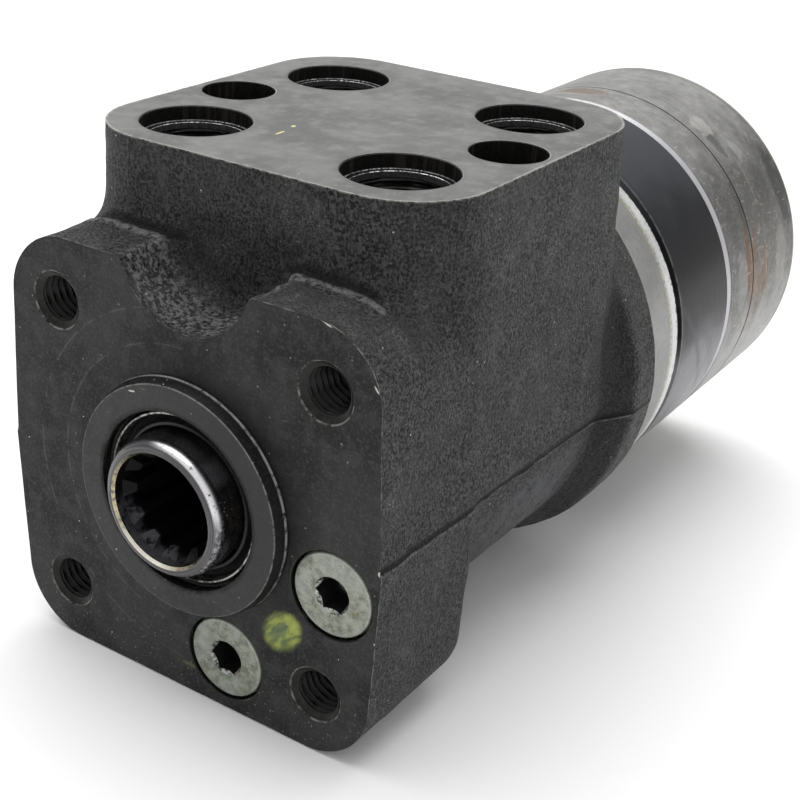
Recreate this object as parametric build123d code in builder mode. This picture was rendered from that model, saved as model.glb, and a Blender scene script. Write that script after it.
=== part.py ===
from build123d import *
import math
import os

os.makedirs("parts", exist_ok=True)

# ---------------------------------------------------------------- driving sizes
# Frame: origin on the shaft axis at the front mounting face.
# +Y runs along the shaft towards the gear set, +Z towards the port face.

# housing casting
HALF_W = 41.3          # half width at the mould's parting plane, z = 0
DRAFT = 0.045          # side draft, mm per mm
HALF_H = 41.25         # half height of the mounting flange
FLANGE_T = 34.5        # depth of the square flange
FLANGE_R = 12.5        # its corner radius
TOP = 56.7             # port face above the shaft axis
BLOCK_Y0, BLOCK_Y1 = 14.0, 92.0
BLOCK_RF, BLOCK_RR = 16.0, 16.0
BARREL_R = 40.7        # round body under the port block
RIM_R = 45.5           # round rear rim
REAR = 96.3            # rear machined face
SCALLOP_R, SCALLOP_Z = 14.2, 45.0

BOSS_R, BOSS_H, BOSS_CH = 22.7, 2.8, 0.8
BOLT_SQ = 58.34        # side of the M10 bolt square (82.5 pitch circle)
M10_DRILL, M10_SINK = 4.25, 5.55

PORT_X, PORT_Y0, PORT_DY = 22.0, 51.5, 22.0
PORT_CB, PORT_CB_D = 10.15, 2.8
PORT_DRILL, PORT_DEPTH = 8.2, 17.0
PIN_X, PIN_R, PIN_D = 30.0, 7.05, 19.0

BORE = 19.05           # main spool bore radius
SEAL_R, WEB_R = 16.3, 13.4

PLUGS = [(31.7, -7.7), (9.0, -30.6)]
PLUG_HOLE, PLUG_R, PLUG_THREAD, HEX_AF = 8.2, 7.95, 8.15, 6.0
VALVE_R = 5.5

# rear stack
STACK_R = 43.1
PLATE_Y = (96.3, 109.4)
CHAN_Y = (109.4, 112.7)
RIMG_Y = (112.7, 140.6)
COVER_Y = (140.6, 185.2)
BOLT_PC, BOLT_HOLE, BOLT_DRILL = 34.0, 4.25, 3.4
BOLT_A = [90.0 + k * 360.0 / 7 for k in range(7)]
GAP_A = [a + 180.0 / 7 for a in BOLT_A]
GROOVE_IN, GROOVE_OUT, GROOVE_D = 38.7, 40.7, 1.35

# gear set
LOBE_PC, LOBE_R, ECC = 29.0, 6.0, 2.6
POCKET_R = LOBE_PC + 2 * ECC - LOBE_R + 0.3

# valve set
NECK_R, NECK_Y = 12.95, -6.85
SPLINE_TIP, SPLINE_ROOT, SPLINE_N = 8.73, 10.56, 12
SPOOL_R, SPOOL_IN, SPOOL_Y = 14.45, 10.6, (16.1, 90.0)
SLEEVE_R, SLEEVE_IN, SLEEVE_Y = 19.0, 14.5, (17.0, 92.0)
SLOT_Y, SLOT_H = (20.0, 28.0), 2.2
PINX_Y, PINX_R = 36.0, 4.0
ROTOR_MID = 127.0
TILT = math.degrees(math.atan2(ECC, ROTOR_MID - PINX_Y))


def across(y):
    """Plane across the shaft at station y: local x is +X, local y is +Z, normal -Y."""
    return Plane(origin=(0, y, 0), x_dir=(1, 0, 0), z_dir=(0, -1, 0))


def polar(r, deg):
    return (r * math.cos(math.radians(deg)), r * math.sin(math.radians(deg)))


def teeth(n, r_out, r_in, half_out, half_in, start=0.0):
    """Straight-flanked tooth outline: half widths in mm at the two radii."""
    pts = []
    for k in range(n):
        a = start + 360.0 * k / n
        do = math.degrees(math.asin(half_out / r_out))
        di = math.degrees(math.asin(half_in / r_in))
        pts += [polar(r_in, a - di), polar(r_out, a - do), polar(r_out, a + do), polar(r_in, a + di)]
    return pts


def save(part, name):
    part.label = name
    export_step(part, "parts/%s.step" % name)
    print(name, len(part.solids()), round(part.volume, 1))


# ---------------------------------------------------------------- housing
with BuildPart() as housing:
    # square mounting flange, widest at the parting plane
    with BuildSketch(across(0)) as flange_sk:
        with BuildLine():
            w = HALF_W - DRAFT * HALF_H
            Polyline((HALF_W, 0), (w, HALF_H), (-w, HALF_H), (-HALF_W, 0), (-w, -HALF_H), (w, -HALF_H), close=True)
        make_face()
        fillet(flange_sk.vertices().sort_by(Axis.X)[1:-1], FLANGE_R)
    extrude(amount=-FLANGE_T)
    fillet([e for e in housing.faces().sort_by(Axis.Y)[-1].edges() if e.center().Z < -2], 6.5)
    # port block with drafted sides
    with BuildSketch(Plane.XY) as block_lo:
        with BuildLine():
            Polyline((HALF_W, BLOCK_Y0), (HALF_W, BLOCK_Y1), (-HALF_W, BLOCK_Y1), (-HALF_W, BLOCK_Y0), close=True)
        make_face()
        fillet(block_lo.vertices().group_by(Axis.Y)[-1], BLOCK_RR)
        fillet(block_lo.vertices().group_by(Axis.Y)[0], BLOCK_RF)
    with BuildSketch(Plane.XY.offset(TOP)) as block_hi:
        with BuildLine():
            w = HALF_W - DRAFT * TOP
            Polyline((w, BLOCK_Y0), (w, BLOCK_Y1), (-w, BLOCK_Y1), (-w, BLOCK_Y0), close=True)
        make_face()
        fillet(block_hi.vertices().group_by(Axis.Y)[-1], BLOCK_RR)
        fillet(block_hi.vertices().group_by(Axis.Y)[0], BLOCK_RF)
    loft()
    # round barrel below the block, cone and rear rim
    with BuildSketch(Plane.XY) as barrel_sk:
        with BuildLine():
            Polyline((0, 10), (BARREL_R, 10), (BARREL_R, 73), (41.8, 76.5), (RIM_R - 0.9, 83.2), (RIM_R, 84.6),
                     (RIM_R, REAR - 0.9), (RIM_R - 0.9, REAR), (0, REAR), close=True)
        make_face()
    revolve(axis=Axis.Y)
    # scallop in the flange's top edge
    with BuildSketch(across(-1)):
        with Locations((0, SCALLOP_Z)):
            Circle(SCALLOP_R)
    extrude(amount=-(BLOCK_Y0 + 1), mode=Mode.SUBTRACT)
    # pilot boss
    with BuildSketch(Plane.XY):
        with BuildLine():
            Polyline((0, 1), (BOSS_R, 1), (BOSS_R, -BOSS_H + BOSS_CH), (BOSS_R - BOSS_CH, -BOSS_H), (0, -BOSS_H), close=True)
        make_face()
    revolve(axis=Axis.Y)
    # seal bores and the main bore with its five ring grooves
    with BuildSketch(Plane.XY):
        with BuildLine():
            pts = [(0, -BOSS_H - 1), (SEAL_R + 0.6, -BOSS_H - 1), (SEAL_R + 0.6, -BOSS_H), (SEAL_R, -BOSS_H + 0.6), (SEAL_R, 4.7), (WEB_R, 4.7),
                   (WEB_R, 8.0), (SEAL_R, 8.0), (SEAL_R, 11.5), (BORE, 11.5)]
            for yc in (42.0, 51.0, 60.0, 69.0, 78.0):
                pts += [(BORE, yc - 2), (21.4, yc - 2), (21.4, yc + 2), (BORE, yc + 2)]
            pts += [(BORE, REAR - 0.5), (BORE + 0.5, REAR), (BORE + 0.5, REAR + 1), (0, REAR + 1)]
            Polyline(*pts, close=True)
        make_face()
    revolve(axis=Axis.Y, mode=Mode.SUBTRACT)
    # ports and the two locating bores in the port face
    with Locations(*[(sx * PORT_X, PORT_Y0 + sy * PORT_DY, TOP) for sx in (-1, 1) for sy in (-1, 1)]):
        CounterBoreHole(radius=PORT_DRILL, counter_bore_radius=PORT_CB, counter_bore_depth=PORT_CB_D, depth=PORT_DEPTH)
    with Locations((PIN_X, PORT_Y0, TOP), (-PIN_X, PORT_Y0, TOP)):
        Hole(radius=PIN_R, depth=PIN_D)
    # drilled ways from the ports down to the ring grooves
    for sx in (-1, 1):
        for sy, yg in ((-1, 42.0), (1, 69.0)):
            a = Vector(sx * PORT_X * 0.98, PORT_Y0 + sy * PORT_DY, TOP - PORT_DEPTH + 1)
            b = Vector(sx * 12.5, yg, 14.0)
            with BuildSketch(Plane(origin=a, z_dir=(b - a))):
                Circle(3.6)
            extrude(amount=(b - a).length, mode=Mode.SUBTRACT)
    # M10 mounting holes
    with Locations(across(0)):
        with GridLocations(BOLT_SQ, BOLT_SQ, 2, 2):
            CounterSinkHole(radius=M10_DRILL, counter_sink_radius=M10_SINK, depth=20, counter_sink_angle=90)
    # shock valve bores behind the two front plugs
    for px, pz in PLUGS:
        for r, d in ((PLUG_HOLE, 11.2), (VALVE_R, 44.0), (2.0, 53.0)):
            with BuildSketch(across(0)):
                with Locations((px, pz)):
                    Circle(r)
            extrude(amount=-d, mode=Mode.SUBTRACT)
        k = 17.0 / math.hypot(px, pz)
        a = Vector(px, 51.0, pz)
        b = Vector(px * k, 51.0, pz * k)
        with BuildSketch(Plane(origin=a, z_dir=(b - a))):
            Circle(1.9)
        extrude(amount=(b - a).length, mode=Mode.SUBTRACT)
    # rear face: bolt threads, seven feed holes, check valve, O-ring groove
    for ang in BOLT_A:
        with BuildSketch(across(REAR)):
            with Locations(polar(BOLT_PC, ang)):
                Circle(BOLT_DRILL)
        extrude(amount=17.5, mode=Mode.SUBTRACT)
    for ang in GAP_A:
        with BuildSketch(across(REAR)):
            with Locations(polar(24.5, ang)):
                Circle(2.0)
        extrude(amount=9.0, mode=Mode.SUBTRACT)
        c, s = polar(1.0, ang)
        with BuildSketch(Plane(origin=(24.5 * c, 89.0, 24.5 * s), z_dir=(-c, 0, -s))):
            Circle(1.6)
        extrude(amount=6.0, mode=Mode.SUBTRACT)
    cx, cz = polar(24.9, BOLT_A[4])
    for r, d in ((4.9, 12.6), (4.3, 21.8), (2.6, 34.0)):
        with BuildSketch(across(REAR)):
            with Locations((cx, cz)):
                Circle(r)
        extrude(amount=d, mode=Mode.SUBTRACT)
    with BuildSketch(across(REAR)):
        Circle(GROOVE_OUT)
        Circle(GROOVE_IN, mode=Mode.SUBTRACT)
    extrude(amount=GROOVE_D, mode=Mode.SUBTRACT)
save(housing.part, "housing")


# ---------------------------------------------------------------- turned rings
def ring_profile(points):
    """Closed (radius, y) outline turned about the shaft axis."""
    with BuildPart() as p:
        with BuildSketch(Plane.XY):
            with BuildLine():
                Polyline(*points, close=True)
            make_face()
        revolve(axis=Axis.Y)
    return p


dust_seal = ring_profile([(14.9, -0.6), (16.26, -0.6), (16.26, 4.6), (13.3, 4.6), (13.3, 3.2), (14.3, 2.6), (14.5, 1.2), (13.05, 0.0), (13.15, -0.5), (14.2, -0.1)])
save(dust_seal.part, "dust_seal")
shaft_seal = ring_profile([(13.06, 8.7), (14.0, 8.1), (16.2, 8.1), (16.2, 11.4), (13.5, 11.4), (13.5, 10.6), (15.0, 10.3), (15.0, 9.6), (13.06, 9.4)])
save(shaft_seal.part, "shaft_seal")
bearing_outer_race = ring_profile([(13.6, 11.6), (18.95, 11.6), (18.95, 12.9), (13.6, 12.9)])
save(bearing_outer_race.part, "bearing_outer_race")
bearing_inner_race = ring_profile([(12.97, 15.1), (18.7, 15.1), (18.7, 16.0), (12.97, 16.0)])
save(bearing_inner_race.part, "bearing_inner_race")
spring_ring = ring_profile([(17.65, 19.3), (18.9, 19.3), (18.9, 28.7), (17.65, 28.7)])
save(spring_ring.part, "spring_ring")

# thrust bearing: cage with radial windows, and its needles
NEEDLES = 20
with BuildPart() as needle_cage:
    with BuildSketch(across(13.4)):
        Circle(18.3)
        Circle(13.9, mode=Mode.SUBTRACT)
        with PolarLocations(16.1, NEEDLES):
            Rectangle(3.2, 2.0, mode=Mode.SUBTRACT)
    extrude(amount=-1.2)
save(needle_cage.part, "needle_cage")
with BuildPart() as bearing_needles:
    for k in range(NEEDLES):
        c, s = polar(1.0, 360.0 * k / NEEDLES)
        with BuildSketch(Plane(origin=(14.6 * c, 14.0, 14.6 * s), z_dir=(c, 0, s))):
            Circle(0.94)
        extrude(amount=3.0)
save(bearing_needles.part, "bearing_needles")

# ---------------------------------------------------------------- spool and sleeve
with BuildPart() as spool:
    with BuildSketch(Plane.XY):
        with BuildLine():
            Polyline((0, NECK_Y), (NECK_R - 1.5, NECK_Y), (NECK_R - 0.44, NECK_Y + 0.44), (NECK_R, NECK_Y + 1.5), (NECK_R, SPOOL_Y[0]),
                     (SPOOL_R, SPOOL_Y[0]), (SPOOL_R, SPOOL_Y[1]), (0, SPOOL_Y[1]), close=True)
        make_face()
    revolve(axis=Axis.Y)
    # splined socket, with the tooth fronts on a 45 degree cone
    with BuildSketch(across(NECK_Y - 1)):
        with BuildLine():
            Polyline(*teeth(SPLINE_N, SPLINE_TIP, SPLINE_ROOT, 0.78, 1.75), close=True)
        make_face()
    extrude(amount=-(1 - NECK_Y + 14.5), mode=Mode.SUBTRACT)
    with BuildSketch(Plane.XY):
        with BuildLine():
            Polyline((0, NECK_Y - 1), (SPLINE_ROOT + 0.5, NECK_Y - 1), (SPLINE_ROOT + 0.5, NECK_Y), (SPLINE_ROOT, NECK_Y + 0.5),
                     (SPLINE_ROOT, -4.5), (SPLINE_TIP, -2.67), (0, -2.67), close=True)
        make_face()
    revolve(axis=Axis.Y, mode=Mode.SUBTRACT)
    with BuildSketch(Plane.XY):
        with BuildLine():
            Polyline((0, 14.0), (SPOOL_IN, 14.0), (SPOOL_IN, SPOOL_Y[1] - 0.8), (SPOOL_IN + 0.8, SPOOL_Y[1]), (SPOOL_IN + 0.8, SPOOL_Y[1] + 1),
                     (0, SPOOL_Y[1] + 1), close=True)
        make_face()
    revolve(axis=Axis.Y, mode=Mode.SUBTRACT)
    # window for the leaf springs, across X
    with BuildSketch(Plane.XY.offset(-SLOT_H)):
        with Locations((0, (SLOT_Y[0] + SLOT_Y[1]) / 2)):
            Rectangle(40, SLOT_Y[1] - SLOT_Y[0])
    extrude(amount=2 * SLOT_H, mode=Mode.SUBTRACT)
    # oversize holes that let the cross pin move with the sleeve
    with BuildSketch(Plane.XY.offset(-20)):
        with Locations((0, PINX_Y)):
            Circle(6.3)
    extrude(amount=40, mode=Mode.SUBTRACT)
    # control slots along the outside
    for k in range(12):
        c, s = polar(1.0, 15 + 30.0 * k)
        y0, y1 = ((50.0, 62.0) if k % 2 else (64.0, 84.0))
        with BuildSketch(Plane(origin=(13.2 * c, (y0 + y1) / 2, 13.2 * s), x_dir=(0, 1, 0), z_dir=(c, 0, s))):
            SlotOverall(y1 - y0, 3.0)
        extrude(amount=3.0, mode=Mode.SUBTRACT)
save(spool.part, "spool")

with BuildPart() as sleeve:
    with BuildSketch(Plane.XY):
        with BuildLine():
            Polyline((SLEEVE_IN, SLEEVE_Y[0]), (SLEEVE_R, SLEEVE_Y[0]), (SLEEVE_R, 19.2), (17.6, 19.2), (17.6, 28.8), (SLEEVE_R, 28.8),
                     (SLEEVE_R, 40.5), (SLEEVE_R - 0.6, 40.5), (SLEEVE_R - 0.6, 43.5), (SLEEVE_R, 43.5),
                     (SLEEVE_R, 67.5), (SLEEVE_R - 0.6, 67.5), (SLEEVE_R - 0.6, 70.5), (SLEEVE_R, 70.5),
                     (SLEEVE_R, SLEEVE_Y[1]), (SLEEVE_IN, SLEEVE_Y[1]), close=True)
        make_face()
    revolve(axis=Axis.Y)
    with BuildSketch(Plane.XY.offset(-SLOT_H)):
        with Locations((0, (SLOT_Y[0] + SLOT_Y[1]) / 2)):
            Rectangle(40, SLOT_Y[1] - SLOT_Y[0])
    extrude(amount=2 * SLOT_H, mode=Mode.SUBTRACT)
    with BuildSketch(Plane.XY.offset(-20)):
        with Locations((0, PINX_Y)):
            Circle(PINX_R + 0.02)
    extrude(amount=40, mode=Mode.SUBTRACT)
    for yy, n, r, a0 in ((51.0, 6, 1.4, 0.0), (60.0, 6, 1.2, 30.0), (69.0, 6, 1.4, 0.0), (89.0, 12, 1.5, 0.0)):
        for k in range(n):
            c, s = polar(1.0, a0 + 360.0 * k / n)
            with BuildSketch(Plane(origin=(12 * c, yy, 12 * s), z_dir=(c, 0, s))):
                Circle(r)
            extrude(amount=9, mode=Mode.SUBTRACT)
save(sleeve.part, "sleeve")

with BuildPart() as cross_pin:
    with BuildSketch(Plane.XY.offset(-18.6)):
        with Locations((0, PINX_Y)):
            Circle(PINX_R)
    extrude(amount=37.2)
    chamfer(cross_pin.edges().filter_by(GeomType.CIRCLE), 0.5)
save(cross_pin.part, "cross_pin")

# centring springs: two flat leaves between two pairs of bowed ones
with BuildPart() as leaf_springs:
    for sgn in (1, -1):
        with BuildSketch(across(SLOT_Y[0] + 0.3)):
            with Locations((0, sgn * 0.26)):
                Rectangle(34.4, 0.46)
        extrude(amount=-7.4)
        for off in (0.0, 0.52):
            lo, hi = 0.55 + off, 1.1 + off
            with BuildSketch(across(SLOT_Y[0] + 0.3)):
                with BuildLine():
                    ThreePointArc((-17.2, sgn * hi), (0, sgn * lo), (17.2, sgn * hi))
                    Line((17.2, sgn * hi), (17.2, sgn * (hi + 0.46)))
                    ThreePointArc((17.2, sgn * (hi + 0.46)), (0, sgn * (lo + 0.46)), (-17.2, sgn * (hi + 0.46)))
                    Line((-17.2, sgn * (hi + 0.46)), (-17.2, sgn * hi))
                make_face()
            extrude(amount=-7.4)
save(leaf_springs.part, "leaf_springs")

# ---------------------------------------------------------------- cardan shaft
with BuildPart() as cardan_raw:
    with BuildSketch(Plane.XY):
        with BuildLine():
            Polyline((0, 29.6), (8.6, 29.6), (9.5, 30.5), (9.5, 44.5), (7.2, 49.0), (7.2, 116.0), (9.4, 119.5), (9.4, 133.2), (8.6, 134.0), (0, 134.0), close=True)
        make_face()
    revolve(axis=Axis.Y)
    with BuildSketch(across(121.5)):
        with BuildLine():
            Polyline(*teeth(12, 11.4, 9.2, 1.1, 1.7), close=True)
        make_face()
    extrude(amount=-11.0)
    with BuildSketch(Plane.XY.offset(-12)):
        with Locations((0, PINX_Y - 3)):
            Rectangle(2 * (PINX_R + 0.15), 11.0 + 6.0)
    extrude(amount=24, mode=Mode.SUBTRACT)
cardan = cardan_raw.part.rotate(Axis((0, PINX_Y, 0), (1, 0, 0)), TILT)
save(cardan, "cardan_shaft")

with BuildPart() as cardan_spacer:
    with BuildSketch(across(136.4)):
        with Locations((0, ECC)):
            Circle(9.7)
    extrude(amount=-3.9)
    chamfer(cardan_spacer.edges().filter_by(GeomType.CIRCLE), 0.4)
save(cardan_spacer.part, "cardan_spacer")

# ---------------------------------------------------------------- gear set
rotor_pts = []
for i in range(144):
    t = 2 * math.pi * i / 144
    px = LOBE_PC * math.cos(t) - ECC * math.cos(7 * t)
    pz = LOBE_PC * math.sin(t) - ECC * math.sin(7 * t)
    dx = -LOBE_PC * math.sin(t) + 7 * ECC * math.sin(7 * t)
    dz = LOBE_PC * math.cos(t) - 7 * ECC * math.cos(7 * t)
    n = math.hypot(dx, dz)
    off = LOBE_R + 0.06
    x, z = px - off * dz / n, pz + off * dx / n
    rotor_pts.append((-z, x + ECC))        # turned a quarter and set off centre along +Z
with BuildPart() as rotor:
    with BuildSketch(across(RIMG_Y[0] + 0.05)):
        with BuildLine():
            Spline(*rotor_pts, periodic=True)
        make_face()
        with Locations((0, ECC)):
            with BuildSketch(mode=Mode.PRIVATE) as rotor_spline:
                with BuildLine():
                    Polyline(*teeth(12, 11.9, 10.1, 1.5, 2.15), close=True)
                make_face()
            add(rotor_spline.sketch, mode=Mode.SUBTRACT)
    extrude(amount=-(RIMG_Y[1] - RIMG_Y[0] - 0.1))
save(rotor.part, "rotor")


def stack_blank(y0, y1, front_ch, rear_ch):
    """Round plate of the rear stack with its seven bolt holes."""
    with BuildPart() as p:
        with BuildSketch(Plane.XY):
            with BuildLine():
                Polyline((0, y0), (STACK_R - front_ch, y0), (STACK_R, y0 + front_ch), (STACK_R, y1 - rear_ch), (STACK_R - rear_ch, y1), (0, y1), close=True)
            make_face()
        revolve(axis=Axis.Y)
        with BuildSketch(across(y0)):
            for ang in BOLT_A:
                with Locations(polar(BOLT_PC, ang)):
                    Circle(BOLT_HOLE)
        extrude(amount=-(y1 - y0), mode=Mode.SUBTRACT)
    return p.part


with BuildPart() as distributor_plate:
    add(stack_blank(*PLATE_Y, 0.3, 0.25))
    with BuildSketch(across(PLATE_Y[0])):
        Circle(12.6)
        for ang in GAP_A:
            with Locations(polar(24.5, ang)):
                Circle(2.0)
    extrude(amount=-(PLATE_Y[1] - PLATE_Y[0]), mode=Mode.SUBTRACT)
save(distributor_plate.part, "distributor_plate")

with BuildPart() as channel_plate:
    add(stack_blank(*CHAN_Y, 0.25, 0.8))
    with BuildSketch(across(CHAN_Y[0])):
        Circle(12.6)
        for ang in GAP_A:
            with Locations(polar(24.9, ang)):
                Circle(2.4)
    extrude(amount=-(CHAN_Y[1] - CHAN_Y[0]), mode=Mode.SUBTRACT)
save(channel_plate.part, "channel_plate")

with BuildPart() as gear_rim:
    add(stack_blank(*RIMG_Y, 1.6, 0.6))
    with BuildSketch(across(RIMG_Y[0])):
        Circle(POCKET_R)
        for ang in BOLT_A:
            with Locations(polar(LOBE_PC, ang)):
                Circle(LOBE_R, mode=Mode.SUBTRACT)
    extrude(amount=-(RIMG_Y[1] - RIMG_Y[0]), mode=Mode.SUBTRACT)
    for y, d in ((RIMG_Y[0], -GROOVE_D), (RIMG_Y[1], GROOVE_D)):
        with BuildSketch(across(y)):
            Circle(GROOVE_OUT)
            Circle(GROOVE_IN, mode=Mode.SUBTRACT)
        extrude(amount=d, mode=Mode.SUBTRACT)
save(gear_rim.part, "gear_rim")

with BuildPart() as end_cover:
    add(stack_blank(*COVER_Y, 2.2, 1.4))
    with BuildSketch(across(COVER_Y[1])):
        for ang in BOLT_A:
            with Locations(polar(BOLT_PC, ang)):
                Circle(7.75)
    extrude(amount=10.0, mode=Mode.SUBTRACT)
    # witness line of the turning set-up
    with BuildSketch(Plane.XY):
        with BuildLine():
            Polyline((STACK_R + 1, 156.1), (STACK_R - 0.2, 156.1), (STACK_R - 0.2, 156.5), (STACK_R + 1, 156.5), close=True)
        make_face()
    revolve(axis=Axis.Y, mode=Mode.SUBTRACT)
save(end_cover.part, "end_cover")

# ---------------------------------------------------------------- O-rings
for name, y, sgn in (("o_ring_housing", REAR, -1), ("o_ring_rim_front", RIMG_Y[0], 1), ("o_ring_rim_rear", RIMG_Y[1], -1)):
    with BuildPart() as o_ring:
        with BuildSketch(Plane.XY):
            with Locations(((GROOVE_IN + GROOVE_OUT) / 2, y + sgn * GROOVE_D / 2)):
                Ellipse(0.93, GROOVE_D / 2 - 0.02)
        revolve(axis=Axis.Y)
    save(o_ring.part, name)

# ---------------------------------------------------------------- cover bolts
SEAT = COVER_Y[1] - 10.0
with BuildPart() as cover_bolts:
    for ang in BOLT_A:
        at = polar(BOLT_PC, ang)
        for r, y0, y1 in ((6.5, SEAT + 1.5, SEAT + 9.5), (3.9, 97.0, SEAT + 1.5), (3.36, 81.0, 97.0)):
            with BuildSketch(across(y0)):
                with Locations(at):
                    Circle(r)
            extrude(amount=-(y1 - y0))
        with BuildSketch(across(SEAT + 9.5)):
            with Locations(at):
                RegularPolygon(3.0, 6, major_radius=False)
        extrude(amount=4.0, mode=Mode.SUBTRACT)
save(cover_bolts.part, "cover_bolts")
with BuildPart() as bolt_washers:
    with BuildSketch(across(SEAT + 0.02)):
        for ang in BOLT_A:
            with Locations(polar(BOLT_PC, ang)):
                Circle(7.4)
                Circle(4.2, mode=Mode.SUBTRACT)
    extrude(amount=-1.46)
save(bolt_washers.part, "bolt_washers")

# ---------------------------------------------------------------- check valve
with BuildPart() as check_ball:
    with Locations((cx, REAR - 21.8 + 3.2, cz)):
        Sphere(3.95)
save(check_ball.part, "check_ball")
with BuildPart() as check_bushing:
    with BuildSketch(across(REAR - 12.4)):
        with Locations((cx, cz)):
            Circle(4.87)
            RegularPolygon(2.5, 6, major_radius=False, mode=Mode.SUBTRACT)
    extrude(amount=-9.0)
save(check_bushing.part, "check_bushing")

# ---------------------------------------------------------------- front plugs and shock valves
for name, (px, pz), hex_rot in (("plug_upper", PLUGS[0], 0.0), ("plug_lower", PLUGS[1], 0.0)):
    with BuildPart() as plug:
        with BuildSketch(Plane.XY):
            with BuildLine():
                Polyline((0, 0.05), (PLUG_R - 0.5, 0.05), (PLUG_R, 0.55), (PLUG_R, 1.4), (PLUG_THREAD, 1.6), (PLUG_THREAD, 9.2), (PLUG_THREAD - 0.6, 9.8),
                         (0, 9.8), close=True)
            make_face()
        revolve(axis=Axis.Y)
        with BuildSketch(across(-0.5)):
            RegularPolygon(HEX_AF / 2, 6, major_radius=False, rotation=hex_rot)
        extrude(amount=-6.0, mode=Mode.SUBTRACT)
    save(plug.part.moved(Location((px, 0, pz))), name)

with BuildPart() as plug_seals:
    for px, pz in PLUGS:
        with BuildSketch(across(9.85)):
            with Locations((px, pz)):
                Circle(8.1)
                Circle(5.7, mode=Mode.SUBTRACT)
        extrude(amount=-1.3)
save(plug_seals.part, "plug_seals")

with BuildPart() as shock_seats:
    for px, pz in PLUGS:
        with BuildSketch(across(39.6)):
            with Locations((px, pz)):
                Circle(VALVE_R - 0.02)
                Circle(2.2, mode=Mode.SUBTRACT)
        extrude(amount=-4.3)
save(shock_seats.part, "shock_seats")

for tag, (px, pz) in (("upper", PLUGS[0]), ("lower", PLUGS[1])):
    with BuildPart() as poppet:
        with BuildSketch(Plane.XY):
            with BuildLine():
                Polyline((0, 30.6), (2.6, 30.6), (2.6, 34.0), (5.42, 34.0), (5.42, 38.0), (3.2, 38.0), (2.05, 39.5), (1.2, 41.4), (0, 41.4), close=True)
            make_face()
        revolve(axis=Axis.Y)
    save(poppet.part.moved(Location((px, 0, pz))), "shock_poppet_" + tag)
    # helical spring between the plug and the poppet
    with BuildPart() as spring:
        with BuildLine():
            h = Helix(pitch=3.1, height=21.7, radius=4.1, center=(0, 0, 0), direction=(0, 1, 0))
        with BuildSketch(Plane(origin=h @ 0, z_dir=h % 0)):
            Circle(0.62)
        sweep(is_frenet=True)
    save(spring.part.moved(Location((px, 11.6, pz))), "shock_spring_" + tag)
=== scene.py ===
# Orbital steering unit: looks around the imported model.
import math

import bpy
import bmesh
import numpy as np
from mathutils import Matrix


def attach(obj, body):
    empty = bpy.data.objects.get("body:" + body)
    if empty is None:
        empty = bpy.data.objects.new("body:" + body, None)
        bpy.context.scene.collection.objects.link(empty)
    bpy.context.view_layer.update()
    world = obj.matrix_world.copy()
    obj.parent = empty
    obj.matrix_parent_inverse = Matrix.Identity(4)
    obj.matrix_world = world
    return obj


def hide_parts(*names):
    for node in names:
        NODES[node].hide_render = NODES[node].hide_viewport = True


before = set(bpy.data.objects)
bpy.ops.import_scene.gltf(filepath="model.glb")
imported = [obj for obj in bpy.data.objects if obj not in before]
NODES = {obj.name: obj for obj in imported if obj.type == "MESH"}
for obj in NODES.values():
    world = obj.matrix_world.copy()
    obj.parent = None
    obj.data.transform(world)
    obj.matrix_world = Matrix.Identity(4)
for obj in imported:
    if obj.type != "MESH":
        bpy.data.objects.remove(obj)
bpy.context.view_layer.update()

import openvdb as vdb
from mathutils import Matrix, Vector

S = 0.001            # mm to m

# ------------------------------------------------------------------ dimensions in mm
HALF_W, HALF_H, DRAFT = 41.3, 41.25, 0.045
FLANGE_T, FLANGE_R, TOP = 34.5, 12.5, 56.7
BLOCK_Y0, BLOCK_Y1, BLOCK_RF, BLOCK_RR = 14.0, 92.0, 16.0, 16.0
REAR, RIM_R, STACK_R = 96.3, 45.5, 43.1
BOSS_R, BOSS_H, BOSS_CH, SEAL_R, WEB_R, BORE = 22.7, 2.8, 0.8, 16.3, 13.4, 19.05
BOLT_H = 58.34 / 2
PORT_X, PORT_Y, PORT_DY, PORT_CB, PORT_CB_D, PORT_DRILL, PORT_DEPTH = 22.0, 51.5, 22.0, 10.15, 2.8, 8.2, 17.0
PIN_X, PIN_R, PIN_D = 30.0, 7.05, 19.0
PLUGS = ((31.7, -7.7), (9.0, -30.6))
PLUG_R, PLUG_THREAD, HEX = 7.95, 8.13, 6.0
NECK_R, NECK_Y, SPOOL_R, SPOOL_Y0, SPOOL_Y1 = 12.95, -6.85, 14.45, 16.1, 90.0
TOOTH_N, TOOTH_TIP, TOOTH_ROOT = 12, 8.73, 10.56
STACK = {"plate": (96.3, 109.4), "strip": (109.4, 112.7), "rim": (112.7, 140.6), "cover": (140.6, 185.2)}


# ------------------------------------------------------------------ mesh helpers
def add_mesh(name, verts, faces, smooth=True, link=True):
    me = bpy.data.meshes.new(name)
    me.from_pydata([tuple(v) for v in (np.asarray(verts, float) * S)], [], [tuple(f) for f in faces])
    me.validate()
    me.update()
    ob = bpy.data.objects.new(name, me)
    if link:
        bpy.context.scene.collection.objects.link(ob)
    if smooth:
        me.polygons.foreach_set("use_smooth", np.ones(len(me.polygons), bool))
    return ob


def outward(ob):
    bm = bmesh.new()
    bm.from_mesh(ob.data)
    bmesh.ops.recalc_face_normals(bm, faces=bm.faces)
    bm.to_mesh(ob.data)
    bm.free()
    return ob


def placer(kind, cx, cz):
    """Maps a turned shape's (across, across, along) to the frame: kind 'y' is an axis along Y through (cx, cz); 'z' is an axis along Z through (cx, cy)."""
    if kind == "y":
        return lambda a, b, t: (cx + a, t, cz + b)
    return lambda a, b, t: (cx + a, cz + b, t)


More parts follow.
